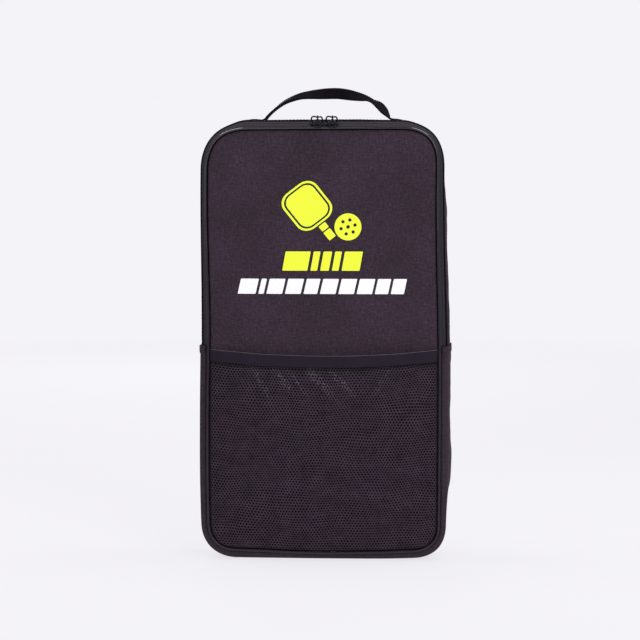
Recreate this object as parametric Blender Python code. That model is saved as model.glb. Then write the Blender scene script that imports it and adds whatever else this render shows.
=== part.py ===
"""Soft sports case for two paddles, standing upright, built as separate sewn pieces.

Frame: +X to the wearer's right of the front face, -Y out of the front face, +Z up.
The flat underside of the gusset is z = 0.

Each panel is a laminate of outer cloth, foam and lining.  The gusset (the strip that
makes the depth) runs round the outline of the panels.  Its upper half carries a
reversed-coil zipper with two sliders; the front panel folds open at the crease where
the zipper stops.
"""
import math

import bpy
import bmesh
from mathutils import Matrix, Vector

MM = 0.001

# ---- driving dimensions, millimetres ------------------------------------------------
HALF_WIDTH = 114.3      # panel seam line, half of its width
Z_LOW = 8.5             # panel seam line, bottom
Z_HIGH = 429.5          # panel seam line, top
R_TOP = 38.0            # seam line corner radius, top
R_LOW = 24.0            # seam line corner radius, bottom
HALF_DEPTH = 27.0       # panel edges stand at y = -27 and +27
SHIFT_Y = 4.05          # moves the whole case so its bounding box is centred on y = 0
CREASE_Z = 214.0        # fold line of the front panel, level with the zipper ends
GAP = 0.3               # clearance between neighbouring pieces
DOME = 4.2              # how far the middle of a panel stands out from its edge
DOME_REACH = 60.0       # the dome levels off this far in from the edge
CLOTH = 0.7             # outer cloth with its coating
FOAM = 4.0
LINING = 0.5
CORD_R = 1.3            # piping cord radius
CORD_H = 1.5            # piping cord centre, outward from the seam line
SIDE_K = 1.18           # the gusset bulges this much more down the sides
TAPE = 0.8              # zipper tape thickness
CHAIN_D, CHAIN_H = 5.4, 4.3   # chain line: behind the front seam, out from the seam line
CHAIN_HALF_GAP = 0.5
SLIDER_X = (-8.3, 6.3)
SLIDER_LENGTH = 13.4
SLIDER_HALF_WIDTH = 4.4
BAR_N = 7.4             # slider bridge bar, centre height above the tape
PULL_LENGTH = 11.3
PULL_LEAN = math.radians(22.0)  # pulls hang against the piping, this far off plumb
HANDLE_Y = 1.5
POCKET_GAP = 8.0        # how far the net stands off the panel at most
NET = 0.8
BINDING = 1.8

for old in list(bpy.data.objects):
    bpy.data.objects.remove(old)


# ---- materials ----------------------------------------------------------------------
def material(name, colour, roughness, metallic=0.0):
    m = bpy.data.materials.new(name)
    m.use_nodes = True
    b = m.node_tree.nodes["Principled BSDF"]
    b.inputs["Base Color"].default_value = (*colour, 1.0)
    b.inputs["Roughness"].default_value = roughness
    b.inputs["Metallic"].default_value = metallic
    m.diffuse_color = (*colour, 1.0)
    return m


# ---- solids -------------------------------------------------------------------------
def solid(name, verts, faces, mat, origin=(0.0, 0.0, 0.0)):
    """One closed body from points in millimetres; its origin stays where it is told."""
    ox, oy, oz = origin
    mesh = bpy.data.meshes.new(name)
    bm = bmesh.new()
    vs = [bm.verts.new(((x - ox) * MM, (y - oy) * MM, (z - oz) * MM)) for x, y, z in verts]
    for f in faces:
        if len(set(f)) > 2:
            bm.faces.new([vs[i] for i in f])
    bmesh.ops.remove_doubles(bm, verts=bm.verts, dist=1e-6)
    bmesh.ops.recalc_face_normals(bm, faces=bm.faces)
    if bm.calc_volume(signed=True) < 0:
        bmesh.ops.reverse_faces(bm, faces=bm.faces)
    bmesh.ops.triangulate(bm, faces=bm.faces)
    bm.to_mesh(mesh)
    bm.free()
    mesh.materials.append(mat)
    ob = bpy.data.objects.new(name, mesh)
    bpy.context.scene.collection.objects.link(ob)
    ob.location = (ox * MM, (oy + SHIFT_Y) * MM, oz * MM)
    return ob


def join_rings(rings, closed):
    """Faces between successive rings of equal point count, capped at both ends.

    Each ring is a band: its first half is one side and its second half, reversed, is
    the other, so a cap is a row of quads and stays good on a bent section.
    """
    n = len(rings[0])
    verts = [p for ring in rings for p in ring]
    faces = []
    count = len(rings)
    for i in range(count if closed else count - 1):
        a, b = i * n, ((i + 1) % count) * n
        for j in range(n):
            k = (j + 1) % n
            faces.append((a + j, a + k, b + k, b + j))
    if not closed:
        for base in (0, (count - 1) * n):
            for j in range(n // 2 - 1):
                quad = (base + j, base + j + 1, base + n - 2 - j, base + n - 1 - j)
                faces.append(quad if base else quad[::-1])
    return verts, faces


# ---- the seam line ------------------------------------------------------------------
def corner(cx, cz, r, a0, a1, steps):
    out = []
    for i in range(steps + 1):
        a = math.radians(a0 + (a1 - a0) * i / steps)
        out.append((cx + r * math.cos(a), cz + r * math.sin(a), math.cos(a), math.sin(a)))
    return out


def side_k(nx):
    return 1.0 + (SIDE_K - 1.0) * abs(nx) ** 1.5


def upper_run(low):
    """Stations (x, z, nx, nz) from the left crease, over the top, to the right one."""
    s = [(-HALF_WIDTH, z, -1.0, 0.0) for z in (low, 262.0, 310.0, 355.0)]
    s += corner(-HALF_WIDTH + R_TOP, Z_HIGH - R_TOP, R_TOP, 180, 90, 5)
    s += [(x, Z_HIGH, 0.0, 1.0) for x in (-62, -40, -15, 15, 40, 64)]
    s += corner(HALF_WIDTH - R_TOP, Z_HIGH - R_TOP, R_TOP, 90, 0, 5)
    s += [(HALF_WIDTH, z, 1.0, 0.0) for z in (355.0, 310.0, 262.0, low)]
    return s


def lower_run(high):
    s = [(HALF_WIDTH, z, 1.0, 0.0) for z in (high, 165.0, 110.0, 65.0)]
    s += corner(HALF_WIDTH - R_LOW, Z_LOW + R_LOW, R_LOW, 0, -90, 4)
    s += [(x, Z_LOW, 0.0, -1.0) for x in (45, 0, -45)]
    s += corner(-HALF_WIDTH + R_LOW, Z_LOW + R_LOW, R_LOW, -90, -180, 4)
    s += [(-HALF_WIDTH, z, -1.0, 0.0) for z in (65.0, 110.0, 165.0, high)]
    return s


UPPER = upper_run(CREASE_Z + GAP / 2)
LOWER = lower_run(CREASE_Z - GAP / 2)
WHOLE = upper_run(CREASE_Z)[:-1] + lower_run(CREASE_Z)[:-1]


def at(station, d, h, bulge=True):
    """Point d behind the front seam and h out from the seam line."""
    x, z, nx, nz = station
    if bulge:
        h *= side_k(nx)
    return (x + nx * h, -HALF_DEPTH + d, z + nz * h)


def offset(line, t):
    """The polyline moved t inward, to the right of its direction in (d, h)."""
    out = []
    for i, (d, h) in enumerate(line):
        dirs = []
        for a, b in ((i - 1, i), (i, i + 1)):
            if a >= 0 and b < len(line):
                u = Vector((line[b][0] - line[a][0], line[b][1] - line[a][1])).normalized()
                dirs.append(u)
        m = sum(dirs, Vector((0, 0))).normalized()
        scale = t / max(0.4, m.dot(dirs[0]))
        out.append((d + m.y * scale, h - m.x * scale))
    return out


def band(name, run, line, outer, thickness, mat, bulge=True, closed=False):
    """A strip of cloth swept along the run; its outer side lies 'outer' inside line."""
    top = offset(line, outer)
    low = offset(line, outer + thickness)
    ring = top + low[::-1]
    rings = [[at(s, d, h, bulge) for d, h in ring] for s in run]
    v, f = join_rings(rings, closed)
    return solid(name, v, f, mat)


def cord(name, run, d, mat, closed=False, sides=6):
    ring = [
        (d + CORD_R * math.cos(2 * math.pi * (i + 0.5) / sides),
         CORD_H + CORD_R * math.sin(2 * math.pi * (i + 0.5) / sides))
        for i in range(sides)
    ]
    rings = [[at(s, a, b, False) for a, b in ring] for s in run]
    v, f = join_rings(rings, closed)
    return solid(name, v, f, mat)


# ---- panels -------------------------------------------------------------------------
INSETS = (0.0, 9.0, 26.0, DOME_REACH)


def rise(d):
    """0 at the edge, 1 at DOME_REACH and beyond."""
    d = min(max(d, 0.0), DOME_REACH)
    return 1.0 - (1.0 - d / DOME_REACH) ** 2.5


def half_width(z):
    if z > Z_HIGH - R_TOP:
        e = min(z - (Z_HIGH - R_TOP), R_TOP)
        return HALF_WIDTH - R_TOP + math.sqrt(max(R_TOP ** 2 - e ** 2, 0.0))
    if z < Z_LOW + R_LOW:
        e = min(Z_LOW + R_LOW - z, R_LOW)
        return HALF_WIDTH - R_LOW + math.sqrt(max(R_LOW ** 2 - e ** 2, 0.0))
    return HALF_WIDTH


def dome(x, z):
    return DOME * rise(half_width(z) - abs(x)) * rise(min(z - Z_LOW, Z_HIGH - z))


def rows(low, high):
    marks = [Z_LOW + R_LOW - R_LOW * math.sin(math.radians(90 - 22.5 * i)) for i in range(5)]
    marks += [65.0, 110.0, 165.0, 262.0, 310.0, 355.0]
    marks += [Z_HIGH - R_TOP + R_TOP * math.sin(math.radians(18.0 * i)) for i in range(6)]
    return [low] + [m for m in marks if low + 0.5 < m < high - 0.5] + [high]


def sheet_body(name, grid, mat):
    """Closed slab from a grid of (front point, back point) pairs."""
    r, c = len(grid), len(grid[0])
    verts = [p[0] for row in grid for p in row] + [p[1] for row in grid for p in row]
    m = r * c
    faces = []
    for i in range(r - 1):
        for j in range(c - 1):
            a, b, d, e = i * c + j, i * c + j + 1, (i + 1) * c + j + 1, (i + 1) * c + j
            faces.append((a, b, d, e))
            faces.append((m + e, m + d, m + b, m + a))
    edge = [j for j in range(c)] + [i * c + c - 1 for i in range(1, r)]
    edge += [(r - 1) * c + j for j in range(c - 2, -1, -1)]
    edge += [i * c for i in range(r - 2, 0, -1)]
    for i, a in enumerate(edge):
        b = edge[(i + 1) % len(edge)]
        faces.append((b, a, m + a, m + b))
    return solid(name, verts, faces, mat)


def panel(name, low, high, depth, thickness, side, mat, trim=0.2):
    """A domed layer. depth is how far its outer side lies behind the panel's face."""
    grid = []
    for z in rows(low, high):
        hw = half_width(z)
        zz = min(max(z, Z_LOW + trim), Z_HIGH - trim)
        xs = [-(hw - i) for i in INSETS] + [0.0] + [hw - i for i in INSETS[::-1]]
        row = []
        for x in xs:
            y = HALF_DEPTH + dome(x, z) - depth
            xx = math.copysign(max(abs(x) - trim, 0.0), x) if abs(abs(x) - hw) < 1e-6 else x
            row.append(((xx, side * y, zz), (xx, side * (y - thickness), zz)))
        grid.append(row)
    return sheet_body(name, grid, mat)


def laminate(prefix, low, high, side, mats):
    cloth, foam, lining = mats
    panel(prefix + "_fabric", low, high, 0.0, CLOTH, side, cloth)
    panel(prefix + "_foam", low, high, CLOTH + GAP, FOAM, side, foam)
    panel(prefix + "_lining", low, high, CLOTH + FOAM + 2 * GAP, LINING, side, lining)


CLOTH_MAT = material("case_cloth", (0.045, 0.034, 0.042), 0.85)
GUSSET_MAT = material("gusset_cloth", (0.04, 0.033, 0.038), 0.85)
FOAM_MAT = material("foam", (0.55, 0.55, 0.53), 0.95)
LINING_MAT = material("lining_cloth", (0.03, 0.03, 0.033), 0.7)
PIPING_MAT = material("piping", (0.02, 0.018, 0.022), 0.3)
TAPE_MAT = material("zipper_tape", (0.05, 0.046, 0.052), 0.8)
COIL_MAT = material("zipper_coil", (0.02, 0.02, 0.022), 0.4)
SLIDER_MAT = material("slider_metal", (0.06, 0.06, 0.065), 0.35, 0.9)
NET_MAT = material("net", (0.02, 0.02, 0.022), 0.7)
WEB_MAT = material("webbing", (0.016, 0.014, 0.018), 0.65)
BIND_MAT = material("binding_tape", (0.022, 0.022, 0.03), 0.7)
GREEN_MAT = material("print_green", (0.78, 0.95, 0.02), 0.5)
WHITE_MAT = material("print_white", (0.9, 0.9, 0.9), 0.5)

CLOTHS = (CLOTH_MAT, FOAM_MAT, LINING_MAT)
laminate("back_panel", Z_LOW, Z_HIGH, 1, CLOTHS)
laminate("front_lower", Z_LOW, CREASE_Z - GAP / 2, -1, CLOTHS)
laminate("front_upper", CREASE_Z + GAP / 2, Z_HIGH, -1, CLOTHS)

# ---- piping and the tapes that bind the seams inside ---------------------------------
cord("back_piping", WHOLE, 2 * HALF_DEPTH, PIPING_MAT, closed=True)
cord("front_upper_piping", UPPER, 0.0, PIPING_MAT)
cord("front_lower_piping", LOWER, 0.0, PIPING_MAT)

INNER = CLOTH + FOAM + LINING + 3 * GAP
FRONT_BIND = [(INNER, -9.5), (INNER, -1.2)]
BACK_BIND = [(2 * HALF_DEPTH - INNER - 0.9, -9.5), (2 * HALF_DEPTH - INNER - 0.9, -1.2)]
# the seam line runs clockwise seen from the front, so these lines are thickened to +d
for nm, run, line, shut in (
    ("front_upper_seam_binding", UPPER, FRONT_BIND, False),
    ("front_lower_seam_binding", LOWER, FRONT_BIND, False),
    ("back_seam_binding", WHOLE, BACK_BIND, True),
):
    band(nm, run, line, 0.0, 0.9, BIND_MAT, bulge=False, closed=shut)

# ---- gusset ---------------------------------------------------------------------------
T = Vector((3.6, 2.4)).normalized()          # across the tape, backward and outward
N = Vector((-T.y, T.x))                      # out of the tape
C = Vector((CHAIN_D, CHAIN_H))
front_edge = C - T * CHAIN_HALF_GAP
rear_edge = C + T * CHAIN_HALF_GAP
FRONT_TAPE = [(1.8, 1.9), tuple(front_edge)]
REAR_TAPE = [tuple(rear_edge), (9.5, 6.4), (13.0, 7.5)]
UPPER_CLOTH = [(13.3, 7.6), (20.0, 8.3), (29.0, 8.5), (41.0, 7.8), (49.0, 5.2), (52.2, 1.7)]
LOWER_CLOTH = [(1.8, 1.8), (3.6, 6.0), (7.0, 8.5), (47.0, 8.5), (50.4, 6.0), (52.2, 1.8)]

band("zipper_tape_front", UPPER, FRONT_TAPE, 0.0, TAPE, TAPE_MAT)
band("zipper_tape_rear", UPPER, REAR_TAPE, 0.0, TAPE, TAPE_MAT)
COIL_W, COIL_T = 2.1, 1.2
band("zipper_coil_front", UPPER, [tuple(C - T * (CHAIN_HALF_GAP + COIL_W)), tuple(front_edge)],
     TAPE + GAP, COIL_T, COIL_MAT)
band("zipper_coil_rear", UPPER, [tuple(rear_edge), tuple(C + T * (CHAIN_HALF_GAP + COIL_W))],
     TAPE + GAP, COIL_T, COIL_MAT)
band("upper_gusset_fabric", UPPER, UPPER_CLOTH, 0.0, TAPE, GUSSET_MAT)
band("upper_gusset_lining", UPPER, [(14.5, 7.8)] + UPPER_CLOTH[1:], TAPE + GAP, LINING, LINING_MAT)
band("lower_gusset_fabric", LOWER, LOWER_CLOTH, 0.0, TAPE, GUSSET_MAT)
band("lower_gusset_lining", LOWER, LOWER_CLOTH, TAPE + GAP, LINING, LINING_MAT)


# ---- sliders and pulls ------------------------------------------------------------------
def frame_point(x, t, n):
    """Point on the straight top run: x along the zipper, t across, n out of the tape."""
    d = C.x + T.x * t + N.x * n
    h = C.y + T.y * t + N.y * n
    return (x, -HALF_DEPTH + d, Z_HIGH + h)


def prism(outline, low, high, place):
    """Extrude a closed outline (u, v) between low and high; place maps (u, v, w)."""
    m = len(outline)
    verts = [place(u, v, low) for u, v in outline] + [place(u, v, high) for u, v in outline]
    faces = [tuple(range(m)), tuple(range(2 * m - 1, m - 1, -1))]
    faces += [(i, (i + 1) % m, m + (i + 1) % m, m + i) for i in range(m)]
    return verts, faces


def unite(base, others):
    for other in others:
        mod = base.modifiers.new("unite", "BOOLEAN")
        mod.operation = "UNION"
        mod.solver = "EXACT"
        mod.object = other
    dg = bpy.context.evaluated_depsgraph_get()
    mesh = bpy.data.meshes.new_from_object(base.evaluated_get(dg))
    base.modifiers.clear()
    base.data = mesh
    for other in others:
        bpy.data.objects.remove(other)
    return base


def slider(name, x0, nose):
    """Body of two plates joined by a thin web behind the nose, with a bridge on top.

    nose is +1 or -1: the end where the two rows of coil part.
    """
    L, W = SLIDER_LENGTH / 2, SLIDER_HALF_WIDTH
    shape = [(-L, -W * 0.72), (-L, W * 0.72), (-L + 3.0, W), (L - 2.0, W), (L, W * 0.55),
             (L, -W * 0.55), (L - 2.0, -W), (-L + 3.0, -W)]
    shape = [(x0 + nose * u, v) for u, v in shape]
    o = frame_point(x0, 0.0, 0.0)
    top = solid(name, *prism(shape, 0.4, 1.9, frame_point), SLIDER_MAT, o)
    # the lower plate only spans the coil, clear of the panel's edge below it
    under = [(u, v * 2.7 / W) for u, v in shape]
    low = solid(name + "_low", *prism(under, -3.35, -2.55, frame_point), SLIDER_MAT, o)
    web_x = x0 + nose * (L - 3.2)
    web = [(web_x - 1.6, -0.2), (web_x + 1.6, -0.2), (web_x + 1.6, 0.2), (web_x - 1.6, 0.2)]
    post = solid(name + "_web", *prism(web, -3.0, 1.1, frame_point), SLIDER_MAT, o)
    b = BAR_N
    arch_out = [(-5.4, 1.5), (-5.2, b - 2.0), (-3.8, b + 0.8), (4.0, b + 0.8), (5.0, b - 1.6), (5.2, 1.5)]
    arch_in = [(3.7, 1.5), (3.6, b - 1.9), (3.1, b - 0.8), (-3.0, b - 0.8), (-3.8, b - 2.3), (-4.0, 1.5)]
    arch = [(x0 + u, v) for u, v in arch_out + arch_in]
    verts, faces = prism(arch, -0.8, 0.8, lambda u, v, w: frame_point(u, w, v))
    # the arch outline is a bent band, so its two flat sides are rows of quads
    m, k = len(arch), len(arch_out)
    faces = faces[2:]
    for base in (0, m):
        for j in range(k - 1):
            q = (base + j, base + j + 1, base + m - 2 - j, base + m - 1 - j)
            faces.append(q if base else q[::-1])
    bridge = solid(name + "_bridge", verts, faces, SLIDER_MAT, o)
    return unite(top, [low, post, bridge])


BAR = frame_point(0.0, 0.0, BAR_N)


def pull(name, x0):
    """Tab hanging from a ring round the bridge bar, with a slot near its free end."""
    oy, oz = BAR[1], BAR[2]
    down = Vector((-math.sin(PULL_LEAN), -math.cos(PULL_LEAN)))   # (y, z)
    out = Vector((-math.cos(PULL_LEAN), math.sin(PULL_LEAN)))     # away from the case

    def place(u, s, w):
        return (x0 + u, oy + down.x * s + out.x * w, oz + down.y * s + out.y * w)

    r_out, r_in, half = 2.35, 1.45, 1.1
    n = 10
    rings = []
    for i in range(n):
        a = 2 * math.pi * i / n
        rings.append([
            (x0 + sx * half, oy + r * math.cos(a), oz + r * math.sin(a))
            for sx, r in ((-1, r_out), (1, r_out), (1, r_in), (-1, r_in))
        ])
    v, f = join_rings(rings, True)
    ring = solid(name, v, f, SLIDER_MAT, (x0, oy, oz))
    th = 0.6
    end = PULL_LENGTH
    outer = [(-2.0, 1.8), (-3.9, 5.6), (-3.9, end - 1.2), (-3.0, end),
             (3.0, end), (3.9, end - 1.2), (3.9, 5.6), (2.0, 1.8)]
    tab = solid(name + "_tab", *prism(outer, -th, th, place), SLIDER_MAT, (x0, oy, oz))
    slot = [(-2.5, end - 3.8), (-2.5, end - 2.0), (2.5, end - 2.0), (2.5, end - 3.8)]
    cut = solid(name + "_slot", *prism(slot, -2.0, 2.0, place), SLIDER_MAT, (x0, oy, oz))
    cut.display_type = "WIRE"
    cut.hide_render = True
    mod = tab.modifiers.new("slot", "BOOLEAN")
    mod.operation = "DIFFERENCE"
    mod.solver = "EXACT"
    mod.object = cut
    dg = bpy.context.evaluated_depsgraph_get()
    mesh = bpy.data.meshes.new_from_object(tab.evaluated_get(dg))
    tab.modifiers.clear()
    tab.data = mesh
    bpy.data.objects.remove(cut)
    return unite(ring, [tab])


slider("slider_left", SLIDER_X[0], 1)
slider("slider_right", SLIDER_X[1], -1)
pull("pull_left", SLIDER_X[0] + 0.9)
pull("pull_right", SLIDER_X[1] + 0.9)

# ---- handle -------------------------------------------------------------------------------
# centre line (x, z), thickness across it and width along y
HANDLE = [
    (-61.6, 440.85, 2.4, 1.5), (-61.2, 441.75, 2.4, 2.4), (-58.6, 443.9, 2.4, 6.0),
    (-55.0, 446.2, 2.5, 9.6), (-47.5, 449.8, 3.2, 14.5), (-36.0, 454.6, 5.0, 12.0),
    (-25.0, 458.4, 7.2, 7.0), (-8.0, 461.9, 9.6, 4.6), (10.0, 462.9, 10.4, 4.2),
    (27.0, 462.4, 10.4, 4.2), (42.0, 459.4, 9.6, 4.8), (52.0, 454.0, 9.4, 7.0),
    (59.5, 448.0, 6.4, 11.0), (63.6, 444.6, 4.4, 6.6), (65.6, 441.75, 3.0, 2.4),
    (66.0, 440.85, 2.8, 1.5),
]


def smooth(points, per):
    out = []
    n = len(points)
    for i in range(n - 1):
        p = [points[max(i - 1, 0)], points[i], points[i + 1], points[min(i + 2, n - 1)]]
        for k in range(per):
            t = k / per
            out.append(tuple(
                0.5 * (2 * b + (c - a) * t + (2 * a - 5 * b + 4 * c - d) * t * t
                       + (3 * b - a - 3 * c + d) * t ** 3)
                for a, b, c, d in zip(*p)))
    return out + [points[-1]]


# the legs pinch to a round edge on the line about which the loop tips
HINGE_Z = 441.75
path = smooth(HANDLE, 2)
rings = []
for i, (x, z, th, wd) in enumerate(path):
    a, b = path[max(i - 1, 0)], path[min(i + 1, len(path) - 1)]
    u = Vector((b[0] - a[0], b[1] - a[1])).normalized()
    nx, nz = -u.y, u.x
    if z < HINGE_Z + 0.5:
        # the legs end level, just above the sewn-down ends
        nx, nz = (-1.0, 0.0) if x < 0 else (1.0, 0.0)
    rings.append([
        (x + nx * th / 2 * s, HANDLE_Y + wd / 2 * q, z + nz * th / 2 * s)
        for s, q in ((1, -1), (1, 1), (-1, 1), (-1, -1))
    ])
v, f = join_rings(rings, False)
solid("handle_webbing", v, f, WEB_MAT, (0.0, HANDLE_Y, HINGE_Z))


def between(a, b, t):
    return tuple(p + (q - p) * t for p, q in zip(a, b))


def anchor(name, run, mat):
    """Sewn-down end of the strap, lying on the cloth of the top gusset."""
    line = [(16.5, 7.94), (20.0, 8.3), (29.0, 8.5), (40.5, 7.83)]
    rings = []
    low, top = offset(line, -GAP), offset(line, -GAP - 1.9)
    for s in run:
        rings.append([at(s, d, h) for d, h in top + low[::-1]])
    v, f = join_rings(rings, False)
    return solid(name, v, f, mat)


TOP_LEFT = UPPER.index(next(s for s in UPPER if s[3] > 0.99))     # corner meets the top
anchor("handle_anchor_left",
       [between(UPPER[TOP_LEFT - 1], UPPER[TOP_LEFT], 0.3), UPPER[TOP_LEFT], UPPER[TOP_LEFT + 1]],
       WEB_MAT)
TOP_RIGHT = len(UPPER) - 1 - TOP_LEFT
anchor("handle_anchor_right",
       [UPPER[TOP_RIGHT - 1], UPPER[TOP_RIGHT], UPPER[TOP_RIGHT + 1],
        between(UPPER[TOP_RIGHT + 1], UPPER[TOP_RIGHT + 2], 0.2)],
       WEB_MAT)


# ---- net pocket ---------------------------------------------------------------------------
def pocket_top(x):
    """Lower edge of the pocket's binding: it dips in the middle."""
    return 193.0 + 5.5 * (abs(x) / HALF_WIDTH) ** 2


BAND_HIGH = 12.3


def stand_off(x, z):
    u = min(abs(x) / HALF_WIDTH, 1.0)
    v = min(max((z - Z_LOW) / 175.0, 0.0), 1.0)
    return POCKET_GAP * (1.0 - u ** 3) * (1.0 - (1.0 - v) ** 3)


def pocket_point(x, z, back):
    return (x, -(HALF_DEPTH + dome(x, z) + 0.4 + stand_off(x, z) + back), z)


POCKET_XS = (-1.0, -0.93, -0.75, -0.45, 0.0, 0.45, 0.75, 0.93, 1.0)
grid = []
for k in range(9):
    f0 = (0.0, 0.02, 0.055, 0.12, 0.24, 0.4, 0.6, 0.8, 1.0)[k]
    row = []
    for u in POCKET_XS:
        z0 = Z_LOW + 0.6
        x = u * (HALF_WIDTH - 0.4)
        z = z0 + (pocket_top(x) - z0) * f0
        hw = half_width(z) - 0.4
        x = u * hw
        row.append((pocket_point(x, z, NET), pocket_point(x, z, 0.0)))
    grid.append(row)
sheet_body("mesh_pocket", grid, NET_MAT)

grid = []
for k in (0.0, 1.0):
    row = []
    for u in POCKET_XS:
        x = u * (HALF_WIDTH - 0.4)
        z = pocket_top(x) + GAP + BAND_HIGH * k
        row.append((pocket_point(x, z, BINDING - 0.4), pocket_point(x, z, -0.1)))
    grid.append(row)
sheet_body("pocket_binding", grid, BIND_MAT)

# ---- printed film on the upper front ---------------------------------------------------------
FILM, FILM_OFF = 0.3, 0.35


def film_point(x, z, lift):
    return (x, -(HALF_DEPTH + dome(x, z) + FILM_OFF + lift), z)


def film_fan(name, outline, centre, mat, steps=3):
    """Film over a star-shaped outline, in rings so it follows the dome."""
    m = len(outline)
    pts = [centre]
    for s in range(1, steps + 1):
        t = s / steps
        pts += [(centre[0] + (x - centre[0]) * t, centre[1] + (z - centre[1]) * t)
                for x, z in outline]
    tri = [(0, 1 + i, 1 + (i + 1) % m) for i in range(m)]
    for s in range(steps - 1):
        a, b = 1 + s * m, 1 + (s + 1) * m
        tri += [(a + i, b + i, b + (i + 1) % m, a + (i + 1) % m) for i in range(m)]
    n = len(pts)
    verts = [film_point(x, z, FILM) for x, z in pts] + [film_point(x, z, 0.0) for x, z in pts]
    faces = list(tri) + [tuple(n + i for i in f[::-1]) for f in tri]
    b = 1 + (steps - 1) * m
    faces += [(b + i, n + b + i, n + b + (i + 1) % m, b + (i + 1) % m) for i in range(m)]
    return solid(name, verts, faces, mat)


def film_bar(name, x0, x1, z0, z1, slant, mat, steps=8):
    grid = []
    for k in (0.0, 0.5, 1.0):
        z = z0 + (z1 - z0) * k
        xs = [x0 + (x1 - x0) * i / steps + slant * k for i in range(steps + 1)]
        grid.append([(film_point(x, z, FILM), film_point(x, z, 0.0)) for x in xs])
    return sheet_body(name, grid, mat)


BALL_R = 13.5
film_fan("print_ball", [(23.0 + BALL_R * math.cos(a * math.pi / 10), 332.5 + BALL_R * math.sin(a * math.pi / 10))
                        for a in range(20)], (23.0, 332.5), GREEN_MAT, 2)
lean = math.radians(38.0)
paddle = []
blade_w, blade_h, corner_r = 20.5, 24.5, 13.0
for cx, cz, a0 in ((1, 1, 0), (-1, 1, 90), (-1, -1, 180)):
    for i in range(4):
        a = math.radians(a0 + 30 * i)
        paddle.append((cx * (blade_w - corner_r) + corner_r * math.cos(a),
                       cz * (blade_h - corner_r) + corner_r * math.sin(a)))
paddle += [(-4.0, -blade_h - 3.0), (-4.0, -blade_h - 21.0), (4.0, -blade_h - 21.0), (4.0, -blade_h - 3.0)]
for i in range(4):
    a = math.radians(270 + 30 * i)
    paddle.append(((blade_w - corner_r) + corner_r * math.cos(a),
                   -(blade_h - corner_r) + corner_r * math.sin(a)))
paddle = [(-9.0 + x * math.cos(lean) - z * math.sin(lean) * 0.9 - 8.5,
           351.5 + x * math.sin(lean) + z * math.cos(lean) * 0.9 + 2.0) for x, z in paddle]
film_fan("print_paddle", paddle, (-17.5, 353.5), GREEN_MAT, 3)
film_bar("print_bar_green", -42.0, 34.5, 289.0, 308.0, 3.5, GREEN_MAT, 6)
film_bar("print_bar_white", -86.0, 79.5, 266.0, 281.0, 3.5, WHITE_MAT, 12)

bpy.context.view_layer.update()
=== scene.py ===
import math

import bmesh
import bpy
import numpy as np
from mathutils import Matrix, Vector, geometry


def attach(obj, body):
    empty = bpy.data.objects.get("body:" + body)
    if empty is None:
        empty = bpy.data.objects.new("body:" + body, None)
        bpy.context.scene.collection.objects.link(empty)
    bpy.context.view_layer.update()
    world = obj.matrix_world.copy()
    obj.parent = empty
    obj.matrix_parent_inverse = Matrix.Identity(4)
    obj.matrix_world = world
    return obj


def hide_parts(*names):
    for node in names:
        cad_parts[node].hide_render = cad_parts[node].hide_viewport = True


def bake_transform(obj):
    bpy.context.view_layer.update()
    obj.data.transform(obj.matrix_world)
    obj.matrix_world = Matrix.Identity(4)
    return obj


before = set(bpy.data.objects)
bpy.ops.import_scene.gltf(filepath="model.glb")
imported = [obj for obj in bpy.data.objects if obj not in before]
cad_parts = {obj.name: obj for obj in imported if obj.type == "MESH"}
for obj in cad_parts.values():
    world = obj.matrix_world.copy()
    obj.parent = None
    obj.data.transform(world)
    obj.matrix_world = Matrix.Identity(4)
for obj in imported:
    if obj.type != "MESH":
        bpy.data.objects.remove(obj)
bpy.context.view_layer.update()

MM = 0.001

# ---- the part's own dimensions, millimetres (the CAD source has the same numbers) ------
HALF_WIDTH, Z_LOW, Z_HIGH = 114.3, 8.5, 429.5
R_TOP, R_LOW, HALF_DEPTH, SHIFT_Y, CREASE_Z = 38.0, 24.0, 27.0, 4.05, 214.0
DOME, DOME_REACH, SIDE_K = 4.2, 60.0, 1.18
CORD_R, CORD_H = 1.3, 1.38
T = np.array((0.83205, 0.5547))       # across the zipper tape, backward and outward (d, h)
N = np.array((-0.5547, 0.83205))      # out of the tape
C = np.array((5.4, 4.3))              # the chain line (d, h)
CHAIN_HALF_GAP, TAPE = 0.5, 0.8
SLIDER_X, SLIDER_LENGTH, BAR_N = (-8.3, 6.3), 13.4, 7.4
PULL_LENGTH, PULL_LEAN = 11.3, math.radians(22.0)
HANDLE_Y = 1.5
POCKET_GAP, BAND_HIGH = 8.0, 12.3
TAU = 2 * math.pi


# ---- smooth helpers --------------------------------------------------------------------
def hermite(x, xs, ys):
    """Smooth curve through the knots, flat beyond its ends."""
    xs, ys = np.asarray(xs, float), np.asarray(ys, float)
    x = np.clip(np.asarray(x, float), xs[0], xs[-1])
    m = np.gradient(ys, xs)
    m[0] = m[-1] = 0.0
    i = np.clip(np.searchsorted(xs, x, side="right") - 1, 0, len(xs) - 2)
    h = xs[i + 1] - xs[i]
    t = (x - xs[i]) / h
    return ((1 + 2 * t) * (1 - t) ** 2 * ys[i] + t * (1 - t) ** 2 * h * m[i]
            + t * t * (3 - 2 * t) * ys[i + 1] + t * t * (t - 1) * h * m[i + 1])


def step(x, lo, hi):
    t = np.clip((np.asarray(x, float) - lo) / (hi - lo), 0, 1)
    return t * t * (3 - 2 * t)


def waves(a, b, seed, length, n=7):
    """Smooth irregular field, about -1 to 1, with that rough wavelength; the same each run."""
    rng = np.random.RandomState(seed)
    out = 0.0
    for _ in range(n):
        th, k, ph = rng.uniform(0, TAU), TAU / (length * rng.uniform(0.7, 1.6)), rng.uniform(0, TAU)
        out = out + np.sin(k * (a * np.cos(th) + b * np.sin(th)) + ph)
    return out / (0.9 * n ** 0.5) * 0.7


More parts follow.
